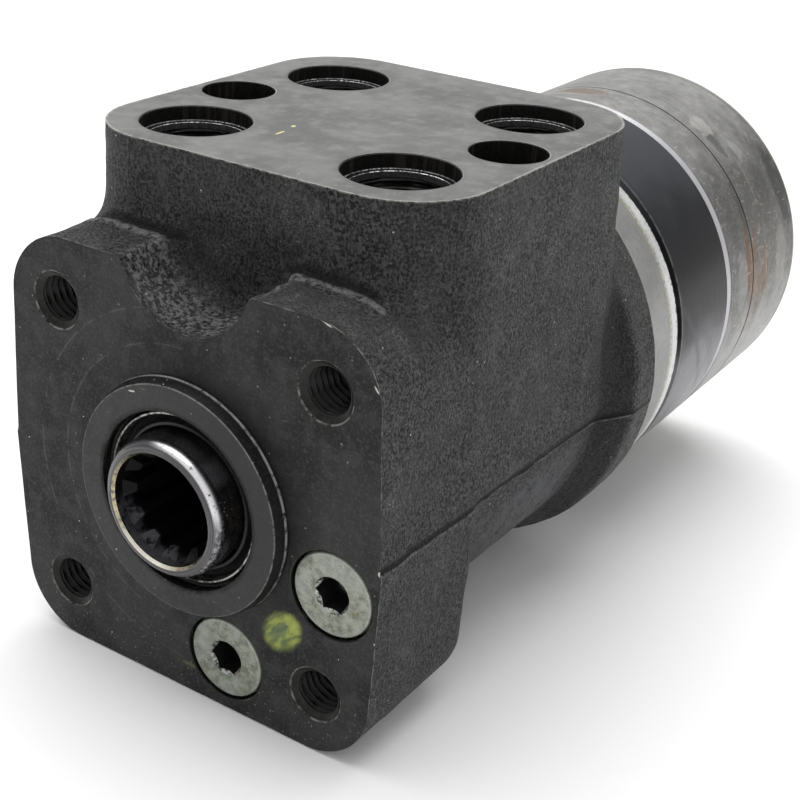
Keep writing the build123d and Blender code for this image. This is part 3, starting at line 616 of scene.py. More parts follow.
def machined_front(name="machined_dark_face", dark=1.0):
    M = Mat(name)
    x, y, z = M.xyz()
    r, a, _ = M.polar()
    big = M.noise(20, 3)
    mid = M.noise(3.6, 4, 0.65)
    fine = M.noise(0.6, 4, 0.65)
    d = dark
    base = M.mix(M.span(big, 0.38, 0.62), grey(0.012 * d, 0.94, 1.0, 0.95), grey(0.028 * d, 0.95, 1.0, 0.95))
    base = M.mix(M.span(mid, 0.47, 0.62, 0, 0.5), base, grey(0.044 * d, 0.95, 1.0, 0.95))
    base = M.mix(M.span(fine, 0.50, 0.64, 0, 0.45), base, grey(0.066, 0.98, 1.0, 0.98))
    halo = both(M, M.span(r, 33.0, 24.0), M.span(M.math("ADD", x, M.math("MULTIPLY", z, 0.6)), -6, 22))
    base = M.mix(M.math("MULTIPLY", halo, 0.6), base, grey(0.006))
    # turning marks about the shaft
    rn = M.noise(1.0, 3, 0.6, co=M.combine(M.math("MULTIPLY", a, 7.0), M.math("MULTIPLY", r, 3.0), 0.0))
    arc = M.math("MAXIMUM", near(M, r, 28.2, 0.18), near(M, r, 34.5, 0.16))
    base = M.mix(both(M, arc, M.span(x, 6, -10), M.span(mid, 0.42, 0.56), 0.55), base, grey(0.075))
    base = M.mix(both(M, M.span(y, -2.6, -2.75), M.span(r, 17.3, 18.0), 0.5), base, grey(0.062 * d, 0.95, 1.0, 0.96))
    # painted highlights on the edges of the boss, brighter towards the upper right
    rub = M.noise(1.5, 3, 0.7)
    lit = both(M, M.span(M.math("ADD", M.math("MULTIPLY", x, 0.6), M.math("MULTIPLY", z, 0.8)), -24, 20, 0.35, 1.0), M.span(rub, 0.32, 0.56))
    top = M.span(y, -2.6, -2.72)
    e = both(M, M.math("MAXIMUM", near(M, r, BOSS_R - BOSS_CH, 0.16), M.math("MULTIPLY", near(M, r, 16.98, 0.09), 0.5)), top, lit)
    base = M.mix(M.math("MULTIPLY", e, 0.72), base, grey(0.22))
    e = both(M, near(M, r, BOSS_R, 0.16), near(M, y, -0.60, 0.22), lit)
    base = M.mix(M.math("MULTIPLY", e, 0.8), base, grey(0.34))
    # dust and fine scratches
    base = M.mix(M.math("MULTIPLY", specks(M, 1.3, 0.12, 0.15), 0.6), base, grey(0.28))
    base = M.mix(specks(M, 2.4, 0.10, 0.065), base, grey(0.75))
    low = M.span(M.math("ADD", z, M.math("MULTIPLY", M.math("SUBTRACT", mid, 0.5), 14)), -26, -34)
    base = M.mix(both(M, specks(M, 0.8, 0.35, 0.25), low, 0.7), base, grey(0.18, 1.0, 1.0, 0.95))
    s = M.noise(0.30, 2, 0.6, co=M.scaled(0.08, 1, 1.0, rot=(0, 0.6, 0)))
    base = M.mix(both(M, M.span(s, 0.69, 0.75), M.span(M.noise(9, 2), 0.45, 0.6), 0.6), base, grey(0.22))
    nick = None
    for nx, nz, ru, rv, t in ((28.8, 40.95, 1.3, 0.16, -0.35), (38.7, 32.6, 0.8, 0.16, -0.9), (41.05, 0.4, 0.30, 0.45, 0.0), (40.8, -13.4, 0.16, 0.18, 0.4), (40.9, -22.0, 0.14, 0.7, 0.0), (40.8, -30.5, 0.12, 0.8, 0.1), (40.9, 14.0, 0.12, 1.0, 0.0), (-9.2, 18.7, 0.8, 0.20, 0.15)):
        q = blob(M, x, z, nx, nz, ru, rv, fine, 0.75, t)
        nick = q if nick is None else M.math("MAXIMUM", nick, q)
    base = M.mix(M.math("MULTIPLY", nick, 0.85), base, grey(0.55, 1.0, 0.98, 0.93))
    nrm = M.bump(M.math("ADD", M.math("ADD", fine, M.math("MULTIPLY", rn, 0.5)), mid), 0.025, 0.8)
    # dab of inspection paint
    wob = M.noise(1.3, 4, 0.6)
    t = math.radians(50)
    dx, dz = M.math("SUBTRACT", x, 21.8), M.math("SUBTRACT", z, -19.1)
    u = M.math("ADD", M.math("MULTIPLY", dx, math.cos(t)), M.math("MULTIPLY", dz, math.sin(t)))
    v = M.math("ADD", M.math("MULTIPLY", dx, -math.sin(t)), M.math("MULTIPLY", dz, math.cos(t)))
    dab = blob(M, u, v, 0, 0, 4.9, 3.5, wob, 0.09)
    streak = M.noise(1.0, 3, 0.5, co=M.combine(M.math("MULTIPLY", u, 0.22), M.math("MULTIPLY", v, 0.75), 0.0))
    pc = M.mix(M.span(streak, 0.36, 0.60), (0.115, 0.150, 0.055), (0.30, 0.34, 0.080))
    pc = M.mix(M.math("MULTIPLY", blob(M, u, v, -0.6, 0.35, 3.4, 1.35, wob, 0.9), 0.62), pc, (0.085, 0.120, 0.085))
    pc = M.mix(both(M, blob(M, u, v, 3.4, -0.2, 1.6, 2.3, wob, 0.5), 0.6), pc, (0.36, 0.40, 0.10))
    base = M.mix(M.math("MULTIPLY", dab, 0.95), base, pc)
    stain = M.math("MAXIMUM", blob(M, x, z, 0.6, -35.6, 2.0, 0.5, wob, 0.6), blob(M, x, z, 31.6, -33.2, 1.2, 0.5, wob, 1.2))
    base = M.mix(M.math("MULTIPLY", stain, 0.40), base, (0.15, 0.15, 0.07))
    return M.set(color=base, rough=M.span(fine, 0.3, 0.7, 0.52, 0.40), spec=0.13, normal=nrm)


def port_face_mat():
    M = Mat("machined_port_face")
    x, y, z = M.xyz()
    big = M.noise(14, 4, 0.6)
    mid = M.noise(3.5, 4, 0.65)
    fine = M.noise(0.35, 3, 0.6)
    base = M.mix(M.span(big, 0.35, 0.65), grey(0.084, 0.985, 1.0, 0.935), grey(0.147, 0.99, 1.0, 0.95))
    base = M.mix(M.span(mid, 0.50, 0.72, 0, 0.5), base, grey(0.20, 1.0, 1.0, 0.98))
    base = M.mix(M.span(fine, 0.55, 0.75, 0, 0.35), base, grey(0.24))
    sw = M.noise(0.5, 3, 0.6, co=M.scaled(1.0, 0.10, 1.0, rot=(0, 0, 0.5)))
    base = M.mix(M.span(sw, 0.60, 0.74, 0, 0.35), base, grey(0.23))
    sw = M.noise(0.5, 3, 0.6, co=M.scaled(0.10, 1.0, 1.0, rot=(0, 0, 0.25)))
    base = M.mix(M.span(sw, 0.62, 0.76, 0, 0.30), base, grey(0.085))
    # stained rings about the drilled holes, and a painted highlight on the far side of each hole's edge
    for sx in (-1, 1):
        for cx, cy, rr in ((sx * PORT_X, PORT_Y - PORT_DY, PORT_CB), (sx * PORT_X, PORT_Y + PORT_DY, PORT_CB), (sx * PIN_X, PORT_Y, PIN_R)):
            dx, dy = M.math("SUBTRACT", x, cx), M.math("SUBTRACT", y, cy)
            d = M.math("SQRT", M.math("ADD", M.math("MULTIPLY", dx, dx), M.math("MULTIPLY", dy, dy)))
            base = M.mix(M.math("MULTIPLY", M.span(d, rr + 1.3, rr + 0.35), 0.45), base, grey(0.075, 0.98, 1.0, 0.92))
            base = M.mix(both(M, M.span(d, rr + 0.30, rr + 0.18), M.span(dy, -2.0, 4.0), 0.9), base, grey(0.62, 0.97, 0.95, 1.08))
    base = M.mix(M.math("MULTIPLY", specks(M, 6.5, 0.10, 0.085), 0.9), base, grey(0.015))
    base = M.mix(M.math("MULTIPLY", specks(M, 2.6, 0.07, 0.09), 0.8), base, (0.50, 0.46, 0.30))
    for cx, cy, ru, rv, t in ((-6.2, 33.6, 0.28, 1.5, 0.05), (-7.0, 38.6, 0.45, 0.65, 0.3)):
        base = M.mix(blob(M, x, y, cx, cy, ru, rv, fine, 0.3, t), base, (0.62, 0.55, 0.27))
    base = M.mix(M.math("MULTIPLY", specks(M, 1.3, 0.08, 0.14), 0.5), base, grey(0.36))
    # bright cut edge round the port face: partly wear, partly painted highlight
    xx = M.math("SUBTRACT", M.math("ABSOLUTE", x), HALF_W + DRAFT * -TOP - BLOCK_RF)
    yy = M.math("SUBTRACT", M.math("ABSOLUTE", M.math("SUBTRACT", y, (BLOCK_Y0 + BLOCK_Y1) / 2)), (BLOCK_Y1 - BLOCK_Y0) / 2 - BLOCK_RF)
    px, py = M.math("MAXIMUM", xx, 0.0), M.math("MAXIMUM", yy, 0.0)
    d = M.math("ADD", M.math("SQRT", M.math("ADD", M.math("MULTIPLY", px, px), M.math("MULTIPLY", py, py))), M.math("MINIMUM", M.math("MAXIMUM", xx, yy), 0.0))
    edge = M.span(d, BLOCK_RF - 0.75, BLOCK_RF - 0.30)
    base = M.mix(both(M, edge, M.span(M.noise(1.5, 3, 0.6), 0.35, 0.55), 0.7), base, grey(0.36, 1.0, 1.0, 0.92))
    nrm = M.bump(M.math("ADD", fine, mid), 0.015, 0.8)
    return M.set(color=base, rough=M.span(mid, 0.3, 0.7, 0.46, 0.34), spec=0.5, normal=nrm)


def bore_mat():
    M = Mat("machined_bore")
    n = M.noise(0.6, 3, 0.6)
    # pale vertical streaks: painted reflections on the bore walls
    v = M.noise(1.6, 3, 0.6, co=M.scaled(1, 1, 0.07))
    base = M.mix(M.span(n, 0.3, 0.7), grey(0.005, 1.05, 1.0, 0.94), grey(0.011, 1.06, 1.0, 0.92))
    base = M.mix(M.span(v, 0.52, 0.68, 0, 0.7), base, grey(0.034, 1.08, 1.0, 0.92))
    return M.set(color=base, rough=M.span(v, 0.3, 0.7, 0.36, 0.22), spec=0.30, normal=M.bump(n, 0.008, 0.7))


def seat_mat():
    M = Mat("polished_port_seat")
    n = M.noise(0.45, 3, 0.7)
    g = M.noise(3.0, 3, 0.6)
    base = M.mix(M.span(n, 0.42, 0.58), grey(0.035), grey(0.50, 1.0, 0.98, 1.02))
    base = M.mix(M.span(g, 0.42, 0.60, 0, 0.7), base, grey(0.09))
    return M.set(color=base, rough=M.span(n, 0.3, 0.7, 0.40, 0.24), metal=0.75, normal=M.bump(n, 0.03, 0.7))


def thread_mat():
    M = Mat("tapped_thread")
    n = M.noise(0.8, 3, 0.6)
    # near-black: painted shade inside the tapped holes
    base = M.mix(M.span(n, 0.3, 0.7), grey(0.004, 1.0, 0.98, 0.92), grey(0.016, 1.04, 1.0, 0.9))
    return M.set(color=base, rough=M.span(n, 0.3, 0.7, 0.30, 0.42), spec=0.22, normal=M.bump(n, 0.03, 0.6))


def steel(name, lo, hi, rough, tint=(1, 1, 1), metal=0.9, lines=0.25, line_depth=0.006):
    M = Mat(name)
    r, a, y = M.polar()
    turn = M.noise(1.0, 3, 0.6, co=M.combine(M.math("MULTIPLY", a, 6.0), M.math("MULTIPLY", y, 1 / lines), M.math("MULTIPLY", r, 1 / lines)))
    blot = M.noise(9, 4, 0.6)
    base = M.mix(M.span(blot, 0.3, 0.7), tuple(lo * c for c in tint), tuple(hi * c for c in tint))
    base = M.mix(M.span(turn, 0.4, 0.7, 0, 0.3), base, tuple(hi * 1.3 * c for c in tint))
    return M, base, turn, blot


def plain_steel(name, lo, hi, rough, tint=(1, 1, 1), metal=0.9):
    M, base, turn, blot = steel(name, lo, hi, rough, tint, metal)
    return M.set(color=base, rough=M.span(turn, 0.3, 0.7, rough, rough + 0.1), metal=metal, normal=M.bump(turn, 0.01, 0.7))


def degrees_about(M, a):
    return M.math("MULTIPLY", a, 360.0)


def plate_mat():
    """Ground plate next to the housing: light, with a yellowed line near its rear face."""
    M, base, turn, blot = steel("ground_plate", 0.22, 0.30, 0.35, (0.985, 1, 0.965), 0.6)
    r, a, y = M.polar()
    base = M.mix(M.span(M.noise(1.3, 4, 0.6), 0.45, 0.7, 0, 0.3), base, grey(0.17, 1, 1, 0.97))
    base = M.mix(both(M, near(M, y, 96.9, 0.35), 0.7), base, grey(0.60))
    base = M.mix(both(M, near(M, y, 97.8, 0.25), 0.6), base, grey(0.16))
    base = M.mix(both(M, near(M, y, 107.9, 0.25), 0.75), base, (0.30, 0.27, 0.15))
    base = M.mix(both(M, near(M, y, 108.8, 0.45), M.span(M.noise(0.8, 3), 0.35, 0.6), 0.6), base, grey(0.62, 1.0, 0.99, 0.94))
    return M.set(color=base, rough=M.span(turn, 0.3, 0.7, 0.34, 0.48), metal=0.6, normal=M.bump(turn, 0.012, 0.7))


def strip_mat():
    """Channel plate: bright and rough, with a dirty broken border at its rear."""
    M, base, turn, blot = steel("bright_plate", 0.55, 0.70, 0.3, (1, 1, 0.985), 0.7)
    r, a, y = M.polar()
    n = M.noise(0.9, 4, 0.7)
    yy = M.math("ADD", y, M.math("MULTIPLY", M.math("SUBTRACT", n, 0.5), 3.2))
    base = M.mix(M.span(n, 0.50, 0.64, 0, 0.4), base, grey(0.34))
    base = M.mix(M.span(yy, 111.6, 112.1), base, grey(0.05))
    return M.set(color=base, rough=M.span(n, 0.3, 0.7, 0.5, 0.32), metal=0.7, normal=M.bump(n, 0.10, 0.9))


def rim_mat():
    """Gear ring: blued steel under oil, with painted reflections round its side."""
    M, base, turn, blot = steel("blued_ring", 0.005, 0.010, 0.2, (0.88, 0.95, 1.18), 0.85)
    r, a, y = M.polar()
    t = degrees_about(M, a)
    big = M.noise(11, 3, 0.6)
    t2 = M.math("ADD", t, M.math("MULTIPLY", M.math("SUBTRACT", big, 0.5), 16.0))
    # painted reflections round the side: lighter towards the top and the bottom, darker on the right, with dark
    # reflected curves
    base = M.mix(M.span(t2, 34, 62, 0, 0.85), base, grey(0.060, 0.90, 0.97, 1.12))
    base = M.mix(both(M, M.span(t2, 34, 24), M.span(t2, 4, 12), 0.6), base, grey(0.004, 0.90, 0.97, 1.12))
    base = M.mix(M.span(t2, 8, -8, 0, 0.9), base, grey(0.155, 0.97, 0.98, 1.06))
    arc = M.math("ADD", y, M.math("MULTIPLY", M.math("ADD", t, 6.0), 0.55))
    base = M.mix(both(M, near(M, arc, 126.5, 1.0), M.span(t, 22, 8), M.span(t, -34, -20), 0.6), base, grey(0.035, 0.9, 0.95, 1.1))
    base = M.mix(both(M, near(M, M.math("SUBTRACT", arc, M.math("MULTIPLY", big, 4)), 131.0, 1.6), M.span(t, 14, 2), 0.35), base, grey(0.05, 0.9, 0.95, 1.1))
    # front chamfer: a dark groove with a pale line behind it; the pale line is a painted highlight
    base = M.mix(M.span(y, 113.6, 113.2), base, grey(0.012))
    base = M.mix(both(M, near(M, y, 114.6, 0.30), M.span(M.noise(2.2, 3), 0.3, 0.55), 0.5), base, grey(0.16))
    base = M.mix(both(M, near(M, y, 115.5, 0.25), 0.5), base, grey(0.015))
    scr = M.noise(0.5, 3, 0.7, co=M.scaled(1, 0.2, 1))
    base = M.mix(M.span(scr, 0.66, 0.78, 0, 0.25), base, grey(0.07, 0.95, 1, 1.1))
    return M.set(color=base, rough=M.span(turn, 0.3, 0.7, 0.22, 0.34), metal=0.45, spec=0.10, normal=M.bump(turn, 0.008, 0.7))


def cover_mat():
    """End cover: turned steel with stains, light rust and handling marks; painted reflections round its side and a
    painted highlight on its front chamfer.
    """
    M, base, turn, blot = steel("turned_cover", 0.215, 0.30, 0.35, (1.01, 1, 0.975), 0.75)
    r, a, y = M.polar()
    t = degrees_about(M, a)
    n3 = M.noise(3.2, 4, 0.65)
    n8 = M.noise(8, 4, 0.6)
    n1 = M.noise(0.9, 4, 0.7)
    tw = M.math("ADD", t, M.math("MULTIPLY", M.math("SUBTRACT", n8, 0.5), 40.0))
    # painted reflections: darker on the upper right side, lighter on the lower half
    base = M.mix(both(M, M.span(tw, 58, 38), M.span(tw, -14, 6), M.span(r, 40.5, 42.5), 0.80), base, grey(0.070, 1.03, 1.0, 0.87))
    base = M.mix(M.span(tw, -6, -28, 0, 0.6), base, grey(0.28, 1.01, 1.0, 0.97))
    base = M.mix(M.span(n3, 0.50, 0.68, 0, 0.45), base, grey(0.17, 1.0, 1.0, 0.98))
    base = M.mix(M.span(n3, 0.46, 0.34, 0, 0.35), base, grey(0.40, 1.02, 1.0, 0.94))
    base = M.mix(both(M, M.span(n1, 0.55, 0.70), 0.45), base, grey(0.42, 1.02, 1.0, 0.95))
    # smudges and stains: (y, angle, half length, half angle, strength)
    for cy, ct, ry, rt, k, col in ((180.0, 30, 3.4, 14, 0.70, grey(0.035, 1.03, 1, 0.92)), (161.5, 53, 1.8, 7, 0.5, grey(0.05)), (155.2, 30, 1.3, 12, 0.6, grey(0.045)),
                                   (170.5, 34, 3.5, 8, 0.35, grey(0.06)), (149.0, 28, 2.6, 9, 0.35, grey(0.07)), (166, 78, 8, 6, 0.25, grey(0.10)),
                                   (162.6, 60, 3.2, 5, 0.55, grey(0.50, 1.02, 1, 0.95)), (168.0, 47, 2.0, 4, 0.4, grey(0.46)), (175.0, 8, 3.5, 12, 0.35, grey(0.36, 1.03, 1, 0.93)),
                                   (150.0, 8, 3.0, 10, 0.35, grey(0.32)), (172, 140, 9, 20, 0.4, grey(0.09)), (155, 205, 6, 30, 0.4, grey(0.08)), (176, 260, 5, 24, 0.45, grey(0.07)),
                                   (160, 310, 8, 22, 0.35, grey(0.12))):
        ang = t if ct <= 180 else M.math("ADD", t, M.math("MULTIPLY", M.math("LESS_THAN", t, 0.0), 360.0))
        base = M.mix(M.math("MULTIPLY", blob(M, y, ang, cy, ct, ry, rt, n3, 0.8), k), base, col)
    for cy, ct, ry, rt, k in ((153.9, 13, 1.2, 12, 0.95), (156.4, 2, 0.9, 20, 0.75), (158.2, 12, 2.0, 13, 0.50), (164.0, 7, 1.8, 10, 0.75), (160.5, 2, 1.0, 12, 0.5), (151.7, 97, 3.0, 9, 0.55), (168, 170, 2.0, 15, 0.5),
                              (158, -60, 1.4, 14, 0.5)):
        base = M.mix(M.math("MULTIPLY", blob(M, y, t, cy, ct, ry, rt, n1, 0.55), k), base, (0.150, 0.072, 0.028))
    # turned lines and handling scratches
    base = M.mix(both(M, near(M, y, 156.3, 0.30), M.span(n8, 0.30, 0.52), 0.6), base, grey(0.050, 1.08, 1, 0.88))
    base = M.mix(both(M, near(M, y, 161.8, 0.12), M.span(n8, 0.42, 0.56), 0.55), base, grey(0.07))
    base = M.mix(both(M, near(M, y, 164.9, 0.10), M.span(n8, 0.45, 0.6), 0.5), base, grey(0.42))
    for rot in ((0.5, 0.3, 0.9), (1.3, -0.6, 0.4)):
        s = M.noise(0.45, 2, 0.6, co=M.scaled(1.0, 0.10, 1.0, rot=rot))
        base = M.mix(both(M, M.span(s, 0.68, 0.74), M.span(n8, 0.42, 0.55), 0.7), base, grey(0.55, 1.02, 1, 0.95))
    # chamfers: a painted highlight on the front one, pale yellow behind
    base = M.mix(both(M, M.span(y, 142.75, 142.5), M.span(r, 40.6, 41.0), 0.9), base, grey(0.62, 0.99, 0.99, 1.03))
    base = M.mix(both(M, M.span(y, 183.1, 183.5), M.span(y, 185.15, 185.0), M.span(r, 40.9, 41.4), 0.85), base, (0.40, 0.39, 0.30))
    base = M.mix(both(M, near(M, y, 182.3, 0.28), 0.5), base, grey(0.09))
    nrm = M.bump(M.math("ADD", turn, M.math("MULTIPLY", n3, 0.6)), 0.02, 0.8)
    return M.set(color=base, rough=M.span(n3, 0.3, 0.7, 0.50, 0.34), metal=0.75, normal=nrm)


def zinc_mat():
    """Zinc-plated plugs: mottled grey-green with dark flecks."""
    M = Mat("zinc_plug")
    x, y, z = M.xyz()
    n = M.noise(1.7, 4, 0.6)
    f = M.noise(0.35, 4, 0.65)
    big = M.noise(6, 3)
    base = M.mix(M.span(n, 0.35, 0.65), grey(0.150, 0.91, 1.0, 0.74), grey(0.300, 0.94, 1.0, 0.82))
    base = M.mix(M.span(big, 0.47, 0.62, 0, 0.5), base, grey(0.33, 0.94, 1.0, 0.92))
    base = M.mix(M.span(f, 0.50, 0.66, 0, 0.45), base, grey(0.45, 0.95, 1.0, 0.90))
    base = M.mix(M.math("MULTIPLY", specks(M, 1.1, 0.20, 0.16), 0.75), base, grey(0.05, 1.0, 0.98, 0.80))
    base = M.mix(M.math("MULTIPLY", specks(M, 1.5, 0.16, 0.30), 0.6), base, (0.17, 0.13, 0.055))
    # painted highlight on each plug's rounded rim, brighter towards the upper right
    for px, pz in PLUGS:
        dx, dz = M.math("SUBTRACT", x, px), M.math("SUBTRACT", z, pz)
        d = M.math("SQRT", M.math("ADD", M.math("MULTIPLY", dx, dx), M.math("MULTIPLY", dz, dz)))
        base = M.mix(both(M, near(M, d, PLUG_R - 0.30, 0.13), M.span(M.math("ADD", dx, dz), -4, 4, 0.1, 1.0), 0.4), base, grey(0.48, 0.98, 1, 0.97))
    return M.set(color=base, rough=M.span(n, 0.3, 0.7, 0.52, 0.40), metal=0.35, normal=M.bump(M.math("ADD", n, f), 0.03, 0.8))


def hex_edge_mat():
    M = Mat("zinc_broken_edge")
    n = M.noise(0.7, 3, 0.7)
    base = M.mix(M.span(n, 0.40, 0.60), grey(0.045, 1.0, 0.95, 0.80), grey(0.46, 0.98, 1, 0.94))
    return M.set(color=base, rough=M.span(n, 0.3, 0.7, 0.45, 0.25), metal=0.7, normal=M.bump(n, 0.12, 0.9))


def hex_dark_mat():
    M = Mat("plug_socket_dark")
    n = M.noise(0.7, 3, 0.6)
    base = M.mix(M.span(n, 0.3, 0.7), grey(0.004), grey(0.012, 1.0, 1.0, 0.95))
    return M.set(color=base, rough=M.span(n, 0.3, 0.7, 0.5, 0.35), spec=0.5, normal=M.bump(n, 0.03, 0.7))


def nose_mat():
    """Rounded front of the spool: painted highlight on its upper right rounding, a painted reflection on its lower
    right, a painted golden highlight on its inner edge.
    """
    M = Mat("spool_nose")
    x, y, z = M.xyz()
    r, a, _ = M.polar()
    n = M.noise(0.9, 4, 0.65)
    ring = M.noise(1.0, 3, 0.6, co=M.combine(M.math("MULTIPLY", a, 5.0), M.math("MULTIPLY", y, 5.0), M.math("MULTIPLY", r, 5.0)))
    base = M.mix(M.span(ring, 0.38, 0.62), grey(0.055, 1.0, 0.99, 1.03), grey(0.125, 1.0, 0.985, 1.03))
    # painted highlight on the upper right of the outer rounding
    lit = both(M, M.span(M.math("ADD", M.math("MULTIPLY", x, 0.62), M.math("MULTIPLY", z, 0.78)), 7.5, 12.0), near(M, r, 12.45, 0.32))
    base = M.mix(both(M, lit, M.span(n, 0.28, 0.44)), base, grey(0.90, 1.0, 0.98, 1.01))
    # painted reflection, lighter, on the lower right of the outer rounding
    low = both(M, M.span(M.math("ADD", M.math("MULTIPLY", x, 0.9), M.math("MULTIPLY", z, -0.45)), 8.0, 12.5), near(M, r, 12.6, 0.35))
    base = M.mix(both(M, low, M.span(n, 0.42, 0.60), 0.8), base, grey(0.42, 1.0, 0.98, 1.02))
    # painted highlight on the inner edge: golden, strongest to the lower left, near white at the bottom
    edge = M.span(r, 11.10, 10.95)
    gold = M.span(M.math("ADD", x, z), 8, -12, 0.22, 1.0)
    base = M.mix(both(M, edge, gold, M.span(n, 0.30, 0.56)), base, (0.50, 0.44, 0.29))
    base = M.mix(both(M, edge, M.span(M.math("ADD", M.math("MULTIPLY", z, -1.0), M.math("MULTIPLY", x, -0.35)), 8.0, 11.0), 0.9), base, (0.92, 0.88, 0.78))
    base = M.mix(M.math("MULTIPLY", specks(M, 0.7, 0.06, 0.2), 0.6), base, grey(0.02))
    return M.set(color=base, rough=M.span(n, 0.3, 0.7, 0.20, 0.32), metal=0.9, normal=M.bump(M.math("ADD", ring, n), 0.015, 0.8))


def neck_mat():
    """Oily neck behind the nose, with painted highlights at its upper right and top, a painted reflection at its lower
    right, and rust-brown and bright pits on one side.
    """
    M = Mat("spool_neck")
    x, y, z = M.xyz()
    r, a, _ = M.polar()
    n = M.noise(0.9, 4, 0.65)
    st = M.noise(1.0, 3, 0.6, co=M.combine(M.math("MULTIPLY", a, 9.0), M.math("MULTIPLY", y, 0.30), 0.0))
    base = M.mix(M.span(st, 0.42, 0.62), grey(0.030, 1.0, 0.98, 1.0), grey(0.070, 1.0, 0.99, 1.04))
    deg = degrees_about(M, a)
    # painted highlights along the upper right and the top, and a painted reflection on the lower right
    base = M.mix(both(M, near(M, deg, 45.0, 9.0), M.span(y, -4.9, -4.2), M.span(y, 0.6, -1.4), 0.8), base, grey(0.22, 0.98, 0.99, 1.05))
    base = M.mix(both(M, near(M, deg, 72.0, 14.0), M.span(y, -4.9, -4.2), M.span(y, -1.0, -2.4), 0.6), base, grey(0.13, 1.0, 0.99, 1.0))
    base = M.mix(both(M, near(M, deg, -22.0, 11.0), M.span(y, -2.6, -3.8), 0.7), base, grey(0.26, 0.98, 0.98, 1.06))
    side = both(M, near(M, deg, 12.0, 11.0), M.span(y, -0.8, -2.8))
    base = M.mix(both(M, M.span(n, 0.50, 0.62), side, 0.8), base, (0.085, 0.052, 0.022))
    base = M.mix(both(M, specks(M, 0.62, 0.5, 0.30), side), base, grey(0.62, 1.06, 0.98, 0.84))
    base = M.mix(both(M, specks(M, 0.8, 0.5, 0.35), side, 0.9), base, grey(0.004))
    return M.set(color=base, rough=M.span(n, 0.3, 0.7, 0.24, 0.36), metal=0.85, normal=M.bump(M.math("ADD", st, n), 0.02, 0.7))


def spline_mat():
    M = Mat("spline_painted_shading")
    x, y, z = M.xyz()
    n = M.noise(1.2, 4, 0.6)
    # near-black teeth: painted shade inside the socket
    base = M.mix(M.span(n, 0.35, 0.65), grey(0.0025, 1.0, 0.98, 0.95), grey(0.007, 1.0, 0.98, 0.96))
    # painted light on the lower left teeth and the lower side of the mouth, painted shade on its left side
    low = M.span(M.math("ADD", x, M.math("MULTIPLY", z, 1.4)), -11.0, -15.5)
    lip = M.span(y, -2.0, -3.4)
    base = M.mix(both(M, low, lip, M.span(n, 0.35, 0.55), 0.8), base, grey(0.13, 0.94, 0.97, 1.18))
    base = M.mix(both(M, lip, M.span(M.math("ADD", z, M.math("MULTIPLY", x, 0.35)), -5.5, -10.0), M.span(n, 0.30, 0.50), 0.7), base, grey(0.045, 1.0, 0.99, 0.98))
    base = M.mix(both(M, lip, M.span(x, -6.0, -10.0), 0.5), base, grey(0.006, 1.0, 0.99, 0.98))
    return M.set(color=base, rough=M.span(n, 0.3, 0.7, 0.36, 0.50), spec=0.10, normal=M.bump(n, 0.05, 0.8))


def land_mat():
    M = Mat("port_land_dark")
    n = M.noise(0.6, 3, 0.6)
    # near-black floor of the port counterbores
    base = M.mix(M.span(n, 0.35, 0.65), grey(0.003), grey(0.012, 1.0, 1.0, 0.97))
    return M.set(color=base, rough=M.span(n, 0.3, 0.7, 0.55, 0.42), spec=0.06, normal=M.bump(n, 0.02, 0.7))


def rubber_mat():
    M = Mat("seal_rubber")
    n = M.noise(0.7, 3, 0.6)
    base = M.mix(M.span(n, 0.3, 0.7), grey(0.0035), grey(0.010))
    return M.set(color=base, rough=M.span(n, 0.3, 0.7, 0.30, 0.40), spec=0.30, normal=M.bump(n, 0.008, 0.6))


def case_mat():
    M = Mat("seal_case")
    n = M.noise(1.4, 3, 0.7)
    base = M.mix(M.span(n, 0.38, 0.62), grey(0.05), grey(0.36, 1.0, 0.99, 0.95))
    return M.set(color=base, rough=M.span(n, 0.3, 0.7, 0.40, 0.26), metal=0.85, normal=M.bump(n, 0.02, 0.7))


MATS = {
    "cast": cast_iron(), "front": machined_front(), "boss_rim": machined_front("boss_side", 0.55), "port": port_face_mat(), "bore": bore_mat(), "thread": thread_mat(), "seat": seat_mat(),
    "edge": plain_steel("bare_turned_edge", 0.55, 0.7, 0.3), "land": land_mat(),
    "plate1": plate_mat(), "plate2": strip_mat(), "rim": rim_mat(), "cover": cover_mat(),
    "nose": nose_mat(), "neck": neck_mat(), "spline": spline_mat(),
    "spool": plain_steel("polished_spool", 0.40, 0.5, 0.16, (1.0, 0.98, 0.95)),
    "zinc": zinc_mat(), "hex_edge": hex_edge_mat(), "hex_dark": hex_dark_mat(),
    "rubber": rubber_mat(), "case": case_mat(),
    "inner": plain_steel("inner_steel", 0.25, 0.35, 0.3),
    "screw": plain_steel("blackened_screw", 0.06, 0.10, 0.3, (1, 1, 1.02)),
}


